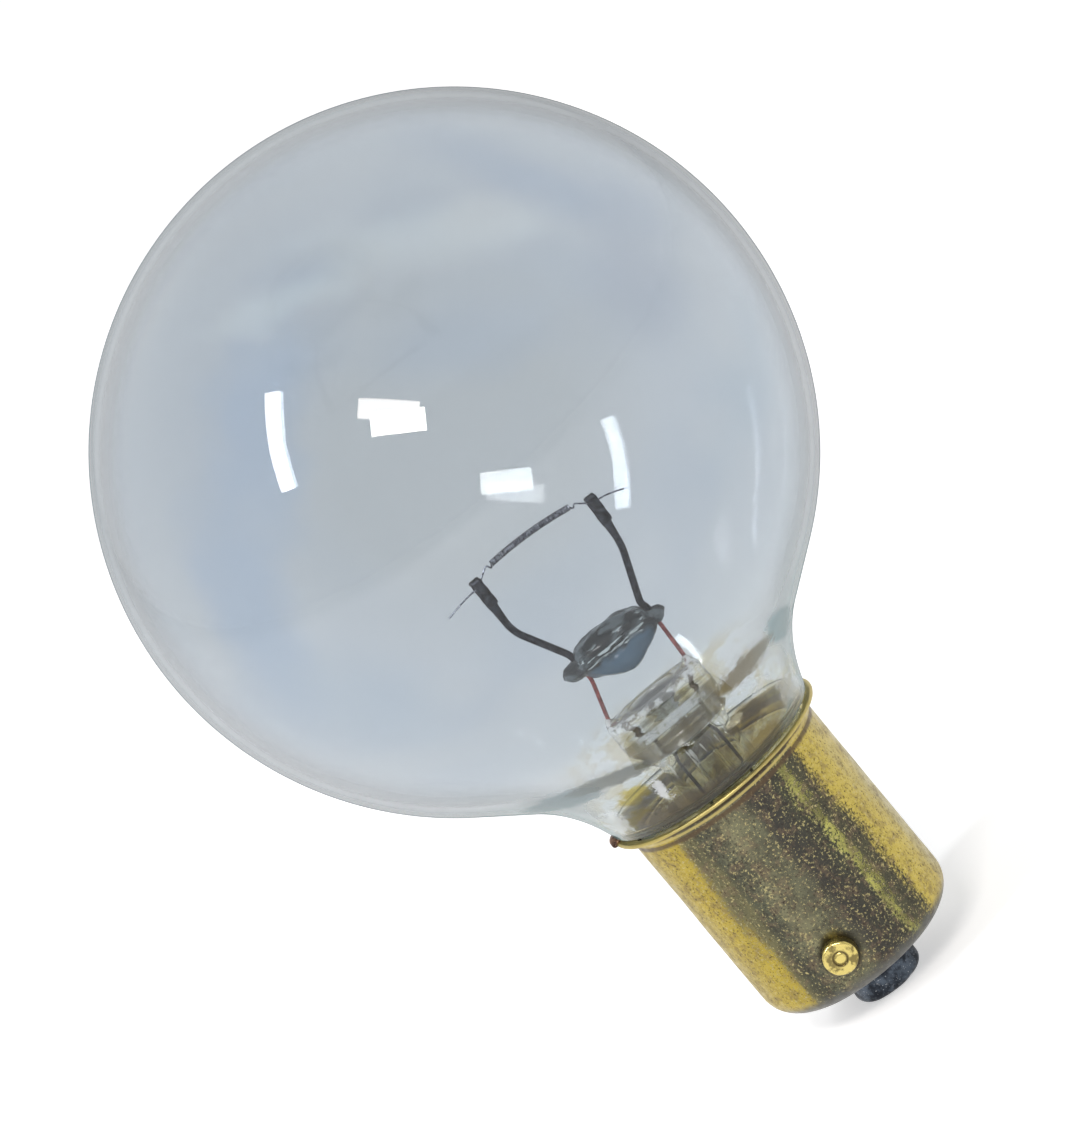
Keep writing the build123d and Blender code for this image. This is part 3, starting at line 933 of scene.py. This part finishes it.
# the tungsten takes painted shade on its edges, for a painted highlight along its middle
tungsten = wire_metal("drawn_tungsten", (0.03, 0.033, 0.05), (0.42, 0.44, 0.52), 0.35,
                      size=0.2, edge=0.9)
cap_brass = tarnished_brass()
pin_brass = bright_brass("rubbed_pin_brass", (0.66, 0.54, 0.18), (0.08, 0.06, 0.03), 0.6,
                         groove=0.5)
eyelet_brass = bright_brass("dull_eyelet_brass", (0.5, 0.4, 0.2), (0.1, 0.08, 0.05), 0.4)
button_solder = solder("dark_lead_solder", (0.02, 0.025, 0.035), (0.1, 0.125, 0.16),
                       (0.5, 0.52, 0.55), 0.42)
spot_solder = solder("reddish_rim_solder", (0.05, 0.025, 0.018), (0.3, 0.15, 0.08),
                     (0.55, 0.4, 0.3), 0.5)
insulator_glass = black_glass()
tan_cement = cement()


# The lamp's pieces


def envelope_outline(inset):
    """The envelope's outline from its crown to the bottom of its neck."""
    slope = math.radians(cone_angle)
    curve = throat_curve + inset
    seat = neck_seat + inset
    middle = throat_radius + throat_curve
    across, down = middle - flare_middle, throat_height - flare_start
    apart = math.hypot(across, down)
    corner = math.acos((apart**2 + seat**2 - curve**2) / (2 * apart * seat))
    seat_turn = math.atan2(down, across) + corner
    shoulder = (flare_middle + seat * math.cos(seat_turn),
                flare_start + seat * math.sin(seat_turn))
    throat_turn = math.atan2(shoulder[1] - throat_height, shoulder[0] - middle)
    outline = arc((0, globe_middle), globe_radius - inset, 90, -cone_angle, 100)
    outline[0] = (0.0, outline[0][1])
    meet = (middle - curve * math.cos(slope), throat_height + curve * math.sin(slope))
    outline.append(((outline[-1][0] + meet[0]) / 2, (outline[-1][1] + meet[1]) / 2))
    outline += arc((middle, throat_height), curve, 180 - cone_angle,
                   math.degrees(throat_turn), 26)
    outline += arc((flare_middle, flare_start), seat, math.degrees(seat_turn), 180, 14)[1:]
    return outline + straight(flare_middle - seat, flare_start, neck_bottom, 6)[1:]


def envelope():
    """The blown globe and its neck, one wall of glass a little uneven inside and out."""
    outline = envelope_outline(0) + envelope_outline(glass_wall)[::-1]
    mesh = turned("envelope_glass", outline, 208, globe_glass, crease=60)
    ripple(mesh, 0.009, 11.0, 1.7, lowest=lip_top + 1)
    lamp_piece(mesh, "glass_envelope")


def flat_ring(z, half_width, half_depth=None, offset=0.0, square=2.0):
    """A level ring about the axis, for a loft. It is round if it has only one size."""
    half_depth = half_width if half_depth is None else half_depth
    return ((offset, 0, z), (half_width, 0, 0), (0, half_depth, 0), square)


def stem_outside():
    """Rings up the outside of the stem, from the flare's edge to the top of the press."""
    start = press_bottom - press_taper
    rings = [flat_ring(neck_bottom, neck_radius)]
    rings += [flat_ring(z, r) for r, z in arc(flare_turn, flare_run, -90, -180, 14)]
    rings += [flat_ring(z, r) for r, z in straight(stem_radius, flare_turn[1], start, 12)[1:]]
    for t in np.linspace(0, 1, 11)[1:]:
        ease = t * t * (3 - 2 * t)
        rings.append(flat_ring(
            start + t * press_taper,
            stem_radius + ease * (press_half_width - stem_radius),
            stem_radius + ease * (press_half_depth - stem_radius),
            ease * press_offset, 2 + 0.5 * ease))
    rings.append(flat_ring((press_bottom + press_top - press_edge) / 2, press_half_width,
                           press_half_depth, press_offset, 2.5))
    for drop, rise in arc((0, 0), press_edge, 0, 90, 6):
        rings.append(flat_ring(
            press_top - press_edge + rise, press_half_width - press_edge + drop,
            press_half_depth - press_edge + drop, press_offset, 2.5))
    return rings


def stem_inside():
    """Rings from the top of the press down the pump's mouth and the inside of the tube."""
    rings = []
    wide, deep = press_half_width - press_edge, press_half_depth - press_edge
    for share in np.linspace(0, 1, 7)[1:-1]:
        rings.append(flat_ring(press_top, wide + share * (mouth_half_width - wide),
                               deep + share * (mouth_half_depth - deep), press_offset, 2.4))
    for share in np.linspace(0, 1, 6):
        rings.append(flat_ring(
            press_top - 0.06 - share * mouth_depth,
            mouth_half_width * (1 - 0.35 * share), mouth_half_depth * (1 - 0.3 * share),
            press_offset, 2.2))
    foot = neck_bottom - stem_wall
    outline = [(pump_bore, press_top - mouth_depth - 0.3), (pump_bore, bore_top),
               (stem_bore * 0.8, bore_top), (stem_bore, bore_top - 0.25),
               (stem_bore, flare_turn[1])]
    outline += arc(flare_turn, flare_run + stem_wall, -180, -90, 14)[1:]
    outline += [(neck_radius - 0.2, foot), (neck_radius, foot + 0.2)]
    return rings + [flat_ring(z, r) for r, z in outline]


def stem():
    """The stem: flare, tube and oval press in one glass, drawn up round the two wires."""
    points, faces = loft(stem_outside() + stem_inside(), 144, joined=True)
    for p in points:
        if p[2] > press_top - horn_root:
            for x in (left_horn, right_horn):
                near = math.exp(-((math.hypot(p[0] - x, p[1]) / horn_width) ** 2))
                p[2] += horn_height * near * (p[2] - press_top + horn_root) / horn_root
        if p[2] > press_bottom:
            p += 0.02 * lumps(p, 1.3, 3.1) * np.array([1, 1, 1.3])
    mount_piece("stem_glass", (points, faces), "stem_flare", thick_glass, crease=50)


def pump_tube():
    """The pump tube under the press, melted shut at its lower tip."""
    wall = pump_radius - pump_bore
    shut = pump_low.z + pump_radius
    outline = [(pump_bore, pump_high.z)] + straight(pump_radius, pump_high.z, shut, 8)
    outline += arc((0, shut), pump_radius, 0, -90, 9)[1:]
    outline[-1] = (0.0, outline[-1][1])
    outline += [(0.0, pump_low.z + 2 * wall), (0.6 * pump_bore, pump_low.z + 2.3 * wall)]
    outline += [(pump_bore, shut + wall), (pump_bore, pump_high.z)]
    mesh = turned("pump_tube", outline, 64, thick_glass)
    ripple(mesh, 0.05, 1.5, 5.2)
    lamp_piece(mesh, "exhaust_tube")


def smooth_stations(count):
    """The bead's stations with smooth steps put between them."""
    given = np.array(bead_stations)
    made = []
    for where in np.linspace(0, len(given) - 1, count):
        i = min(int(where), len(given) - 2)
        t = where - i
        a, b, c, d = (given[min(max(k, 0), len(given) - 1)] for k in range(i - 1, i + 3))
        made.append(0.5 * (2 * b + (c - a) * t + (2 * a - 5 * b + 4 * c - d) * t**2
                           + (3 * b - a - 3 * c + d) * t**3))
    return made


def bead():
    """The bead of dark glass melted round the four wire ends, pinched and lumpy."""
    stations = smooth_stations(76)
    (left, left_z, *_), (right, right_z, *_) = stations[0], stations[-1]
    rings = [((left - bead_tip, 0, left_z), (0, 0, 0), (0, 0, 0), 2.0)]
    rings += [((x, 0, z), (0, depth, 0), (0, 0, half), 2.3) for x, z, half, depth in stations]
    rings.append(((right + bead_tip, 0, right_z), (0, 0, 0), (0, 0, 0), 2.0))
    points, faces = loft(rings, 72)
    for p in points:
        away = np.array([0.2 * p[0], p[1], p[2] - bead_middle])
        size = max(np.linalg.norm(away), 1e-6)
        push = 0.16 * lumps(p * (0.5, 1, 1), 0.9, 8.4) + 0.06 * lumps(p, 0.35, 1.1)
        if p[1] < 0:
            push -= 0.22 * math.exp(-(((p[2] - bead_groove - 0.06 * p[0]) / 0.35) ** 2))
        p += away / size * min(1.0, size) * push
    mount_piece("bead_glass", (points, faces), "glass_bead", bead_finish)


def post(name, places, tip, node):
    """A support post: wire that is flattened at its end and folded over the filament."""
    lean = math.atan2(tip[0] - places[-1][0], tip[1] - places[-1][1])
    sway, rise = math.sin(lean), math.cos(lean)
    route = rounded(in_mount(places), 0.9)
    wires = len(route)
    fold = filament_wire_radius + clamp_half_leaf
    leaf = [(0.5 * fold, -clamp_length - 0.12), (fold, -clamp_length + 0.25)]
    leaf += straight(fold, -clamp_length + 0.5, -2 * fold, 5)
    leaf += [(y, z - 2 * fold) for y, z in arc((0, 0), fold, 0, 180, 8)[1:-1]]
    leaf += straight(-fold, -2 * fold, -clamp_length, 8)
    for i, (y, z) in enumerate(leaf):
        aside = clamp_step * min(1.0, max(0.0, (i - 9) / 4))
        route.append(np.array([tip[0] + z * sway + aside * rise, y,
                               tip[1] + z * rise - aside * sway]))
    thin, full, wide = 0.7 * post_radius, 0.86 * post_radius, 1.05 * post_radius
    sections = [(0, 0, 2.0), (thin, thin, 2.0)] + [(full, full, 2.0)] * (wires - 1)
    sections += [(wide, 0.85 * post_radius, 2.2), (0.36, 0.2, 3.0)]
    for i in range(len(leaf) - 1):
        swell = 1 + 0.05 * math.sin(2.1 * i)
        sections.append((clamp_half_width * swell, clamp_half_leaf, 4.0))
    sections += [(0.9 * clamp_half_width, 0.7 * clamp_half_leaf, 4.0), (0, 0, 4.0)]
    shape = strip(route, sections, (rise, 0, -sway), steps=28)
    mount_piece(name, shape, node, post_metal, crease=35)


def bent_wire(name, places, bend, radius, node, finish, ending=(), steps=16):
    """A round wire through places of the mount's plane, its corners bent round."""
    route = rounded(in_mount(places), bend) + in_mount(ending)
    mount_piece(name, wire(route, radius, steps), node, finish)


def dumet(name, weld, horn, side, node):
    """A copper-clad wire from the bead down into the press."""
    places = [(weld, weld_height), (weld, bead_underside), (horn, press_top),
              (side * lead_in_press, join_height + join_length),
              (side * lead_in_press, join_height)]
    bent_wire(name, places, 0.3, dumet_radius, node, dumet_metal)


def lead(name, side, onward, node, ending=()):
    """A dark lead from its joint in the press down the stem, and onward from there."""
    places = [(side * lead_in_press, join_height),
              (side * lead_in_press, join_height - join_length),
              (side * lead_in_stem, bore_top - 1.0)] + onward
    bent_wire(name, places, 0.6, lead_radius, node, lead_metal, ending)


def rim_lead():
    """The lead down the stem, round under the neck and up beside it to the rim."""
    over = flare_curve + shell_wall + cement_gap / 2
    beside = over - flare_middle
    under = neck_bottom - stem_wall - 0.5
    onward = [(-lead_in_stem, under), (beside, under), (beside, flare_start)]
    lead("rim_lead", -1, onward, "shell_lead",
         ending=arc((-flare_middle, flare_start), over, 0, 90, 10)[1:])


def centre_lead():
    """The lead down the stem, in under the pump tube's tip and through the eyelet."""
    onward = [(lead_in_stem, pump_low.z), (0, insulator_high.z + 1.0), (0, eyelet_low.z - 0.5)]
    lead("centre_lead", 1, onward, "contact_lead")


def coil():
    """The filament's coil of fine wire, wound close, with a slight bow."""
    start, end = np.array(coil_left), np.array(coil_right)
    length = float(np.linalg.norm(end - start))
    mesh = grown("filament_coil", winding, bpy.data.meshes.new("coil_start"), {
        "Turns": float(coil_turns),
        "Coil Radius": (coil_radius - filament_wire_radius) * MM,
        "Wire Radius": filament_wire_radius * MM,
        "Length": length * MM,
        "Bow": coil_bow * MM,
        "Finish": tungsten,
    })
    way = (end - start) / length
    along = Vector((way[0], 0, way[1]))
    up = Vector((-way[1], 0, way[0]))
    place = Matrix((up, along.cross(up), along)).transposed().to_4x4()
    place.translation = Vector((start[0], 0, start[1])) * MM
    mesh.transform(Matrix.Rotation(mount_turn, 4, "Z") @ place)
    tidy_mesh(mesh, 60)
    lamp_piece(mesh, "filament")


def filament_leg(name, start, kink, tip, tail):
    """The filament's straight leg, through its clamp and out to a loose curled tail."""
    x, z = tip[0], tip[1] - clamp_hold
    near, far = ((x + across * (tail[0] - x), z + up * (tail[1] - z))
                 for across, up in ((0.35, 0.05), (0.75, 0.55)))
    dip = ((start[0] + kink[0]) / 2, min(start[1], kink[1]) - 0.3)
    places = [start, dip, kink, (x, z), near, far, tail]
    bent_wire(name, places, 0.35, filament_wire_radius, None, tungsten, steps=10)


def cap_shell():
    """The cap's barrel of drawn sheet: flared lip, barrel, turned-in end."""
    end_inside = shell_end + shell_wall
    lip, end = (flare_middle, flare_start), (shell_radius - end_curve, end_middle)
    outline = arc(lip, flare_curve, 88, 180, 14)
    outline += straight(shell_radius, flare_start, end_middle, 30)[1:]
    outline += arc(end, end_curve, 0, -90, 16)[1:]
    outline += [(end_opening + end_softness, shell_end), (end_opening, shell_end + end_softness)]
    outline += [(end_opening, end_inside - end_softness)]
    outline += [(end_opening + end_softness, end_inside)]
    outline += arc(end, end_curve - shell_wall, -90, 0, 12)
    outline += straight(shell_bore, end_middle, flare_start, 24)[1:]
    outline += arc(lip, flare_curve + shell_wall, 180, 90, 14)[1:]
    outline += arc((flare_middle, lip_top - shell_wall / 2), shell_wall / 2, 90, -88, 8)[1:]
    outline.append(outline[0])
    mesh = turned("cap_shell", outline, 224, cap_brass, crease=55)
    ripple(mesh, 0.035, 3.2, 4.4)
    dent_round_pins(mesh)
    lamp_piece(mesh, "base_shell")


def dent_round_pins(mesh):
    """The sheet pressed in a little round each riveted pin."""
    depth, width, reach = 0.14, 1.35, 3.0
    for v in mesh.vertices:
        x, y, z = v.co / MM
        away = math.hypot(x, z)
        if away < reach and abs(y) > 5.0:
            v.co.y -= math.copysign(depth * math.exp(-((away / width) ** 4)) * MM, y)


def pin(name, side, node):
    """A bayonet pin: a round head with a dished end, on its shank through the sheet."""
    reach = -pin_low.y
    radius = (pin_high.z - pin_low.z) / 2
    outline = [(0.0, pin_foot), (pin_shank, pin_foot), (pin_shank, pin_seat - 0.05),
               (radius, pin_seat), (radius, reach - pin_edge)]
    outline += arc((radius - pin_edge, reach - pin_edge), pin_edge, 0, 90, 7)[1:]
    outline += [(0.66, reach - 0.005)]
    outline += arc((0.56, reach - 0.09), 0.09, 60, 180, 5)
    outline += [(0.4, reach - 0.1), (0.33, reach - 0.06), (0.2, reach - 0.05), (0.0, reach - 0.05)]
    mesh = turned(name, outline, 72, pin_brass)
    ripple(mesh, 0.03, 0.7, 2.6 * side)
    mesh.transform(Matrix.Rotation(math.radians(-90 * side), 4, "X"))
    tidy_mesh(mesh, 35)
    lamp_piece(mesh, node)


def end_insulator():
    """The disc of black glass that closes the cap's end."""
    low, high = insulator_low.z, insulator_high.z
    outline = [(eyelet_wall_inside, high), (shell_bore, high)]
    outline += arc((shell_radius - end_curve, end_middle), end_curve - shell_wall, 0, -90, 10)
    outline += [(end_opening, shell_end + shell_wall), (end_opening, shell_end + 0.02)]
    for share in np.linspace(0, 1, 8)[1:]:
        fall = math.sin(share * math.pi / 2)
        outline.append((end_opening - share * (end_opening - 3.0),
                        shell_end + fall * (low - shell_end)))
    outline += [(2.0, low), (eyelet_wall_inside, low), (eyelet_wall_inside, high)]
    mesh = turned("end_insulator", outline, 128, insulator_glass)
    ripple(mesh, 0.03, 1.6, 9.3)
    lamp_piece(mesh, "insulator")


def end_eyelet():
    """The brass eyelet under the solder, its rim a little rounded."""
    high, top, low = eyelet_high.z, insulator_low.z, eyelet_low.z
    edge = eyelet_high.x - eyelet_edge
    outline = [(eyelet_bore, high), (eyelet_wall_inside, high), (eyelet_wall_inside, top),
               (edge, top)]
    outline += arc((edge, top - eyelet_edge), eyelet_edge, 90, 0, 4)[1:]
    outline += arc((edge, low + eyelet_edge), eyelet_edge, 0, -90, 4)
    outline += [(eyelet_bore, low), (eyelet_bore, high)]
    lamp_piece(turned("end_eyelet", outline, 96, eyelet_brass), "contact_eyelet")


def contact_button():
    """The solder button: a soft-edged, slightly sunken drop with a lumpy skin."""
    radius, edge = button_high.x, button_edge
    top, low = eyelet_low.z, button_low.z
    outline = [(0.0, button_high.z), (button_root, button_high.z), (button_root, top),
               (radius - 0.12, top), (radius, top - 0.14), (radius, (top + low + edge) / 2)]
    outline += arc((radius - edge, low + edge), edge, 0, -90, 10)
    outline += [(1.2, low + 0.02), (0.6, low + 0.05), (0.0, low + 0.07)]
    mesh = turned("contact_button", outline, 112, button_solder)
    for v in mesh.vertices:
        x, y, z = v.co / MM
        if z < top - 0.05:
            v.co += Vector((x, y, 0)) / radius * MM * 0.09 * lumps((x, y, z), 1.5, 6.6)
            v.co.z += 0.05 * MM * max(0.0, lumps((x, y, z), 0.9, 2.2))
    tidy_mesh(mesh, 45)
    lamp_piece(mesh, "contact_solder")


def cement_ring():
    """The ring of cement between the neck and the shell."""
    low, high = cement_low.z, cement_high.z
    outline = [(neck_radius, low)] + straight(shell_bore, low, high, 12)
    outline += straight(neck_radius, high, low, 12)
    lamp_piece(turned("cement_ring", outline, 160, tan_cement), "basing_cement")


def rim_spot():
    """The spot of solder on the rim, run out flat over the end of the lead."""
    radius = (spot_high.x - spot_low.x) / 2
    rings = []
    for turn in np.linspace(-90, 90, 22):
        a = math.radians(turn)
        level, wide = math.sin(a), math.cos(a)
        rings.append(((-flare_middle + 0.05, 0, lip_top + 0.42 * radius * level),
                      (0.62 * radius * wide, 0, 0), (0, 1.25 * radius * wide, 0), 2.0))
    points, faces = loft(rings, 40)
    for p in points:
        p += 0.14 * lumps(p, 0.6, 7.7) * np.array([0.6, 1, 0.7])
    mount_piece("rim_spot", (points, faces), "shell_solder", spot_solder)


envelope()
stem()
pump_tube()
bead()
post("post_left", left_post, left_tip, "support_post_left")
post("post_right", right_post, right_tip, "support_post_right")
dumet("dumet_left", left_weld, left_horn, -1, "dumet_lead_left")
dumet("dumet_right", right_weld, right_horn, 1, "dumet_lead_right")
rim_lead()
centre_lead()
coil()
filament_leg("filament_leg_left", coil_left, left_kink, left_tip, left_tail)
filament_leg("filament_leg_right", coil_right, right_kink, right_tip, right_tail)
cap_shell()
pin("pin_front", -1, "bayonet_pin_front")
pin("pin_rear", 1, "bayonet_pin_rear")
end_insulator()
end_eyelet()
contact_button()
cement_ring()
rim_spot()


# Camera: a long lens, looking a little down on the globe, rolled so that the lamp slants

picture_width, picture_height = 1080, 1121
pixels_in_a_mm = 14.78
globe_pixel = (454.4, 452.4)
globe_pixels = 365.0
camera_azimuth = math.radians(12.0)
camera_elevation = math.radians(15.5)
roll_cos, roll_sin = 0.7694, 0.6388
camera_distance = 1000.0
sensor = 36.0

cos_a, sin_a = math.cos(camera_azimuth), math.sin(camera_azimuth)
cos_e, sin_e = math.cos(camera_elevation), math.sin(camera_elevation)
towards_camera = Vector((sin_a * cos_e, -cos_a * cos_e, sin_e))
level = Vector((cos_a, sin_a, 0))
upright = Vector((-sin_a * sin_e, cos_a * sin_e, cos_e))
picture_right = roll_cos * level - roll_sin * upright
picture_up = roll_sin * level + roll_cos * upright
globe_centre = Vector((0, 0, globe_middle))


def stand(obj, place, right, up, back):
    """Puts an object in place with its X, Y and Z along three directions."""
    turn = Matrix((right, up, back)).transposed().to_4x4()
    turn.translation = place * MM
    obj.matrix_world = turn


def make_camera():
    data = bpy.data.cameras.new("camera")
    data.sensor_width = sensor
    data.lens = sensor * camera_distance * pixels_in_a_mm / picture_height
    camera = in_scene("camera", data)
    offset_right = (picture_width / 2 - globe_pixel[0]) / pixels_in_a_mm
    offset_up = (globe_pixel[1] - picture_height / 2) / pixels_in_a_mm
    target = globe_centre + offset_right * picture_right + offset_up * picture_up
    stand(camera, target + camera_distance * towards_camera,
          picture_right, picture_up, towards_camera)
    bpy.context.scene.camera = camera


# Light: a soft pale room with windows, which the globe mirrors

window_distance = 700.0
window_panes = [
    # middle of its mirror image on the globe, its width and height there and its lean in
    # degrees, all in the picture, then its glow and its colour
    ((400.5, 423.5), (55.0, 23.5), 5.0, 29.0, (1.0, 0.97, 0.93)),
    ((391.0, 412.0), (60.0, 20.0), -5.0, 14.5, (1.0, 0.92, 0.86)),
    ((279.0, 415.5), (15.0, 42.0), 3.0, 29.0, (0.97, 0.96, 1.0)),
    ((286.0, 463.5), (14.5, 56.0), 15.0, 29.0, (0.97, 0.96, 1.0)),
]
# the panes that stand again behind themselves for the globe's far wall, with their colour
far_glow = 21.0
far_panes = [(0, (1.0, 0.88, 0.76)), (2, (1.0, 0.97, 0.95)), (3, (1.0, 0.97, 0.95))]


def mirrored_place(x, y):
    """The place in the room that the globe mirrors at a pixel of the picture."""
    x, y = (x - globe_pixel[0]) / globe_pixels, (globe_pixel[1] - y) / globe_pixels
    z = math.sqrt(1 - x * x - y * y)
    normal = x * picture_right + y * picture_up + z * towards_camera
    return globe_centre + window_distance * (2 * z * normal - towards_camera)


def window_pane(name, pixel, size, lean, glow, colour, through_glass=False):
    """A lamp where the globe mirrors it at that place of the picture. It may show through
    glass only, which leaves it to the mirror image on the globe's far wall."""
    c, s = math.cos(math.radians(lean)), math.sin(math.radians(lean))
    (x, y), (wide, high) = pixel, size
    right, down = (c * wide / 2, -s * wide / 2), (s * high / 2, c * high / 2)
    across = mirrored_place(x + right[0], y + right[1]) - mirrored_place(x - right[0], y - right[1])
    up = mirrored_place(x - down[0], y - down[1]) - mirrored_place(x + down[0], y + down[1])
    place = mirrored_place(x, y)
    back = (place - globe_centre).normalized()
    up_way = (up - up.dot(back) * back).normalized()
    data = bpy.data.lights.new(name, "AREA")
    data.shape = "RECTANGLE"
    data.size = across.length * MM
    data.size_y = up.length * MM
    data.energy = glow * math.pi * data.size * data.size_y
    data.color = colour
    lamp = in_scene(name, data)
    if through_glass:
        lamp.visible_diffuse = lamp.visible_glossy = False
        place += 5.0 * back
    stand(lamp, place, up_way.cross(back), up_way, back)


def make_windows():
    for number, pane in enumerate(window_panes):
        window_pane(f"window_pane_{number + 1}", *pane)
    for number, (pane, colour) in enumerate(far_panes):
        window_pane(f"far_pane_{number + 1}", *window_panes[pane][:3], far_glow, colour,
                    through_glass=True)


def make_room():
    """An even pale room: white behind the lamp and below it, and a little dimmer where
    metal and glass mirror the side that the camera stands on."""
    world = bpy.data.worlds.new("pale_room")
    bpy.context.scene.world = world
    world.use_nodes = True
    tree = world.node_tree
    front = reach_along(put(tree, "ShaderNodeTexCoord", out=0), towards_camera)
    mirrored = between(front, -0.1, 0.6, 1.0, 0.68)
    seen = most(rays(tree, "Camera", "Transmission"), rays(tree, "Glossy") * mirrored)
    give(tree.nodes["Background"], Color=(1, 1, 1, 1), Strength=most(seen, 0.45))


def make_floor():
    """A plain white floor under the contact. It keeps the lamp's shadow, and it isn't
    seen from below."""
    half = 2.0
    z = button_low.z * MM
    mesh = bpy.data.meshes.new("floor")
    corners = [(-half, -half, z), (half, -half, z), (half, half, z), (-half, half, z)]
    mesh.from_pydata(corners, [], [(0, 1, 2, 3)])
    material = bpy.data.materials.new("white_floor")
    material.use_nodes = True
    tree = material.node_tree
    tree.nodes.remove(tree.nodes["Principled BSDF"])
    paint = put(tree, "ShaderNodeBsdfDiffuse", {"Color": (0.8, 0.8, 0.8, 1)})
    seen = rays(tree, "Camera", "Glossy", "Transmission")
    glow = put(tree, "ShaderNodeEmission", {"Strength": seen * 0.5})
    lit = put(tree, "ShaderNodeAddShader", {0: paint, 1: glow})
    below = put(tree, "ShaderNodeNewGeometry", out=6)
    unseen = put(tree, "ShaderNodeBsdfTransparent")
    sides = put(tree, "ShaderNodeMixShader", {0: below, 1: lit, 2: unseen})
    fill(tree.nodes["Material Output"], {"Surface": sides})
    mesh.materials.append(material)
    floor = in_scene("floor", mesh)


make_camera()
make_windows()
make_room()
make_floor()
bpy.context.scene.view_settings.view_transform = "Standard"
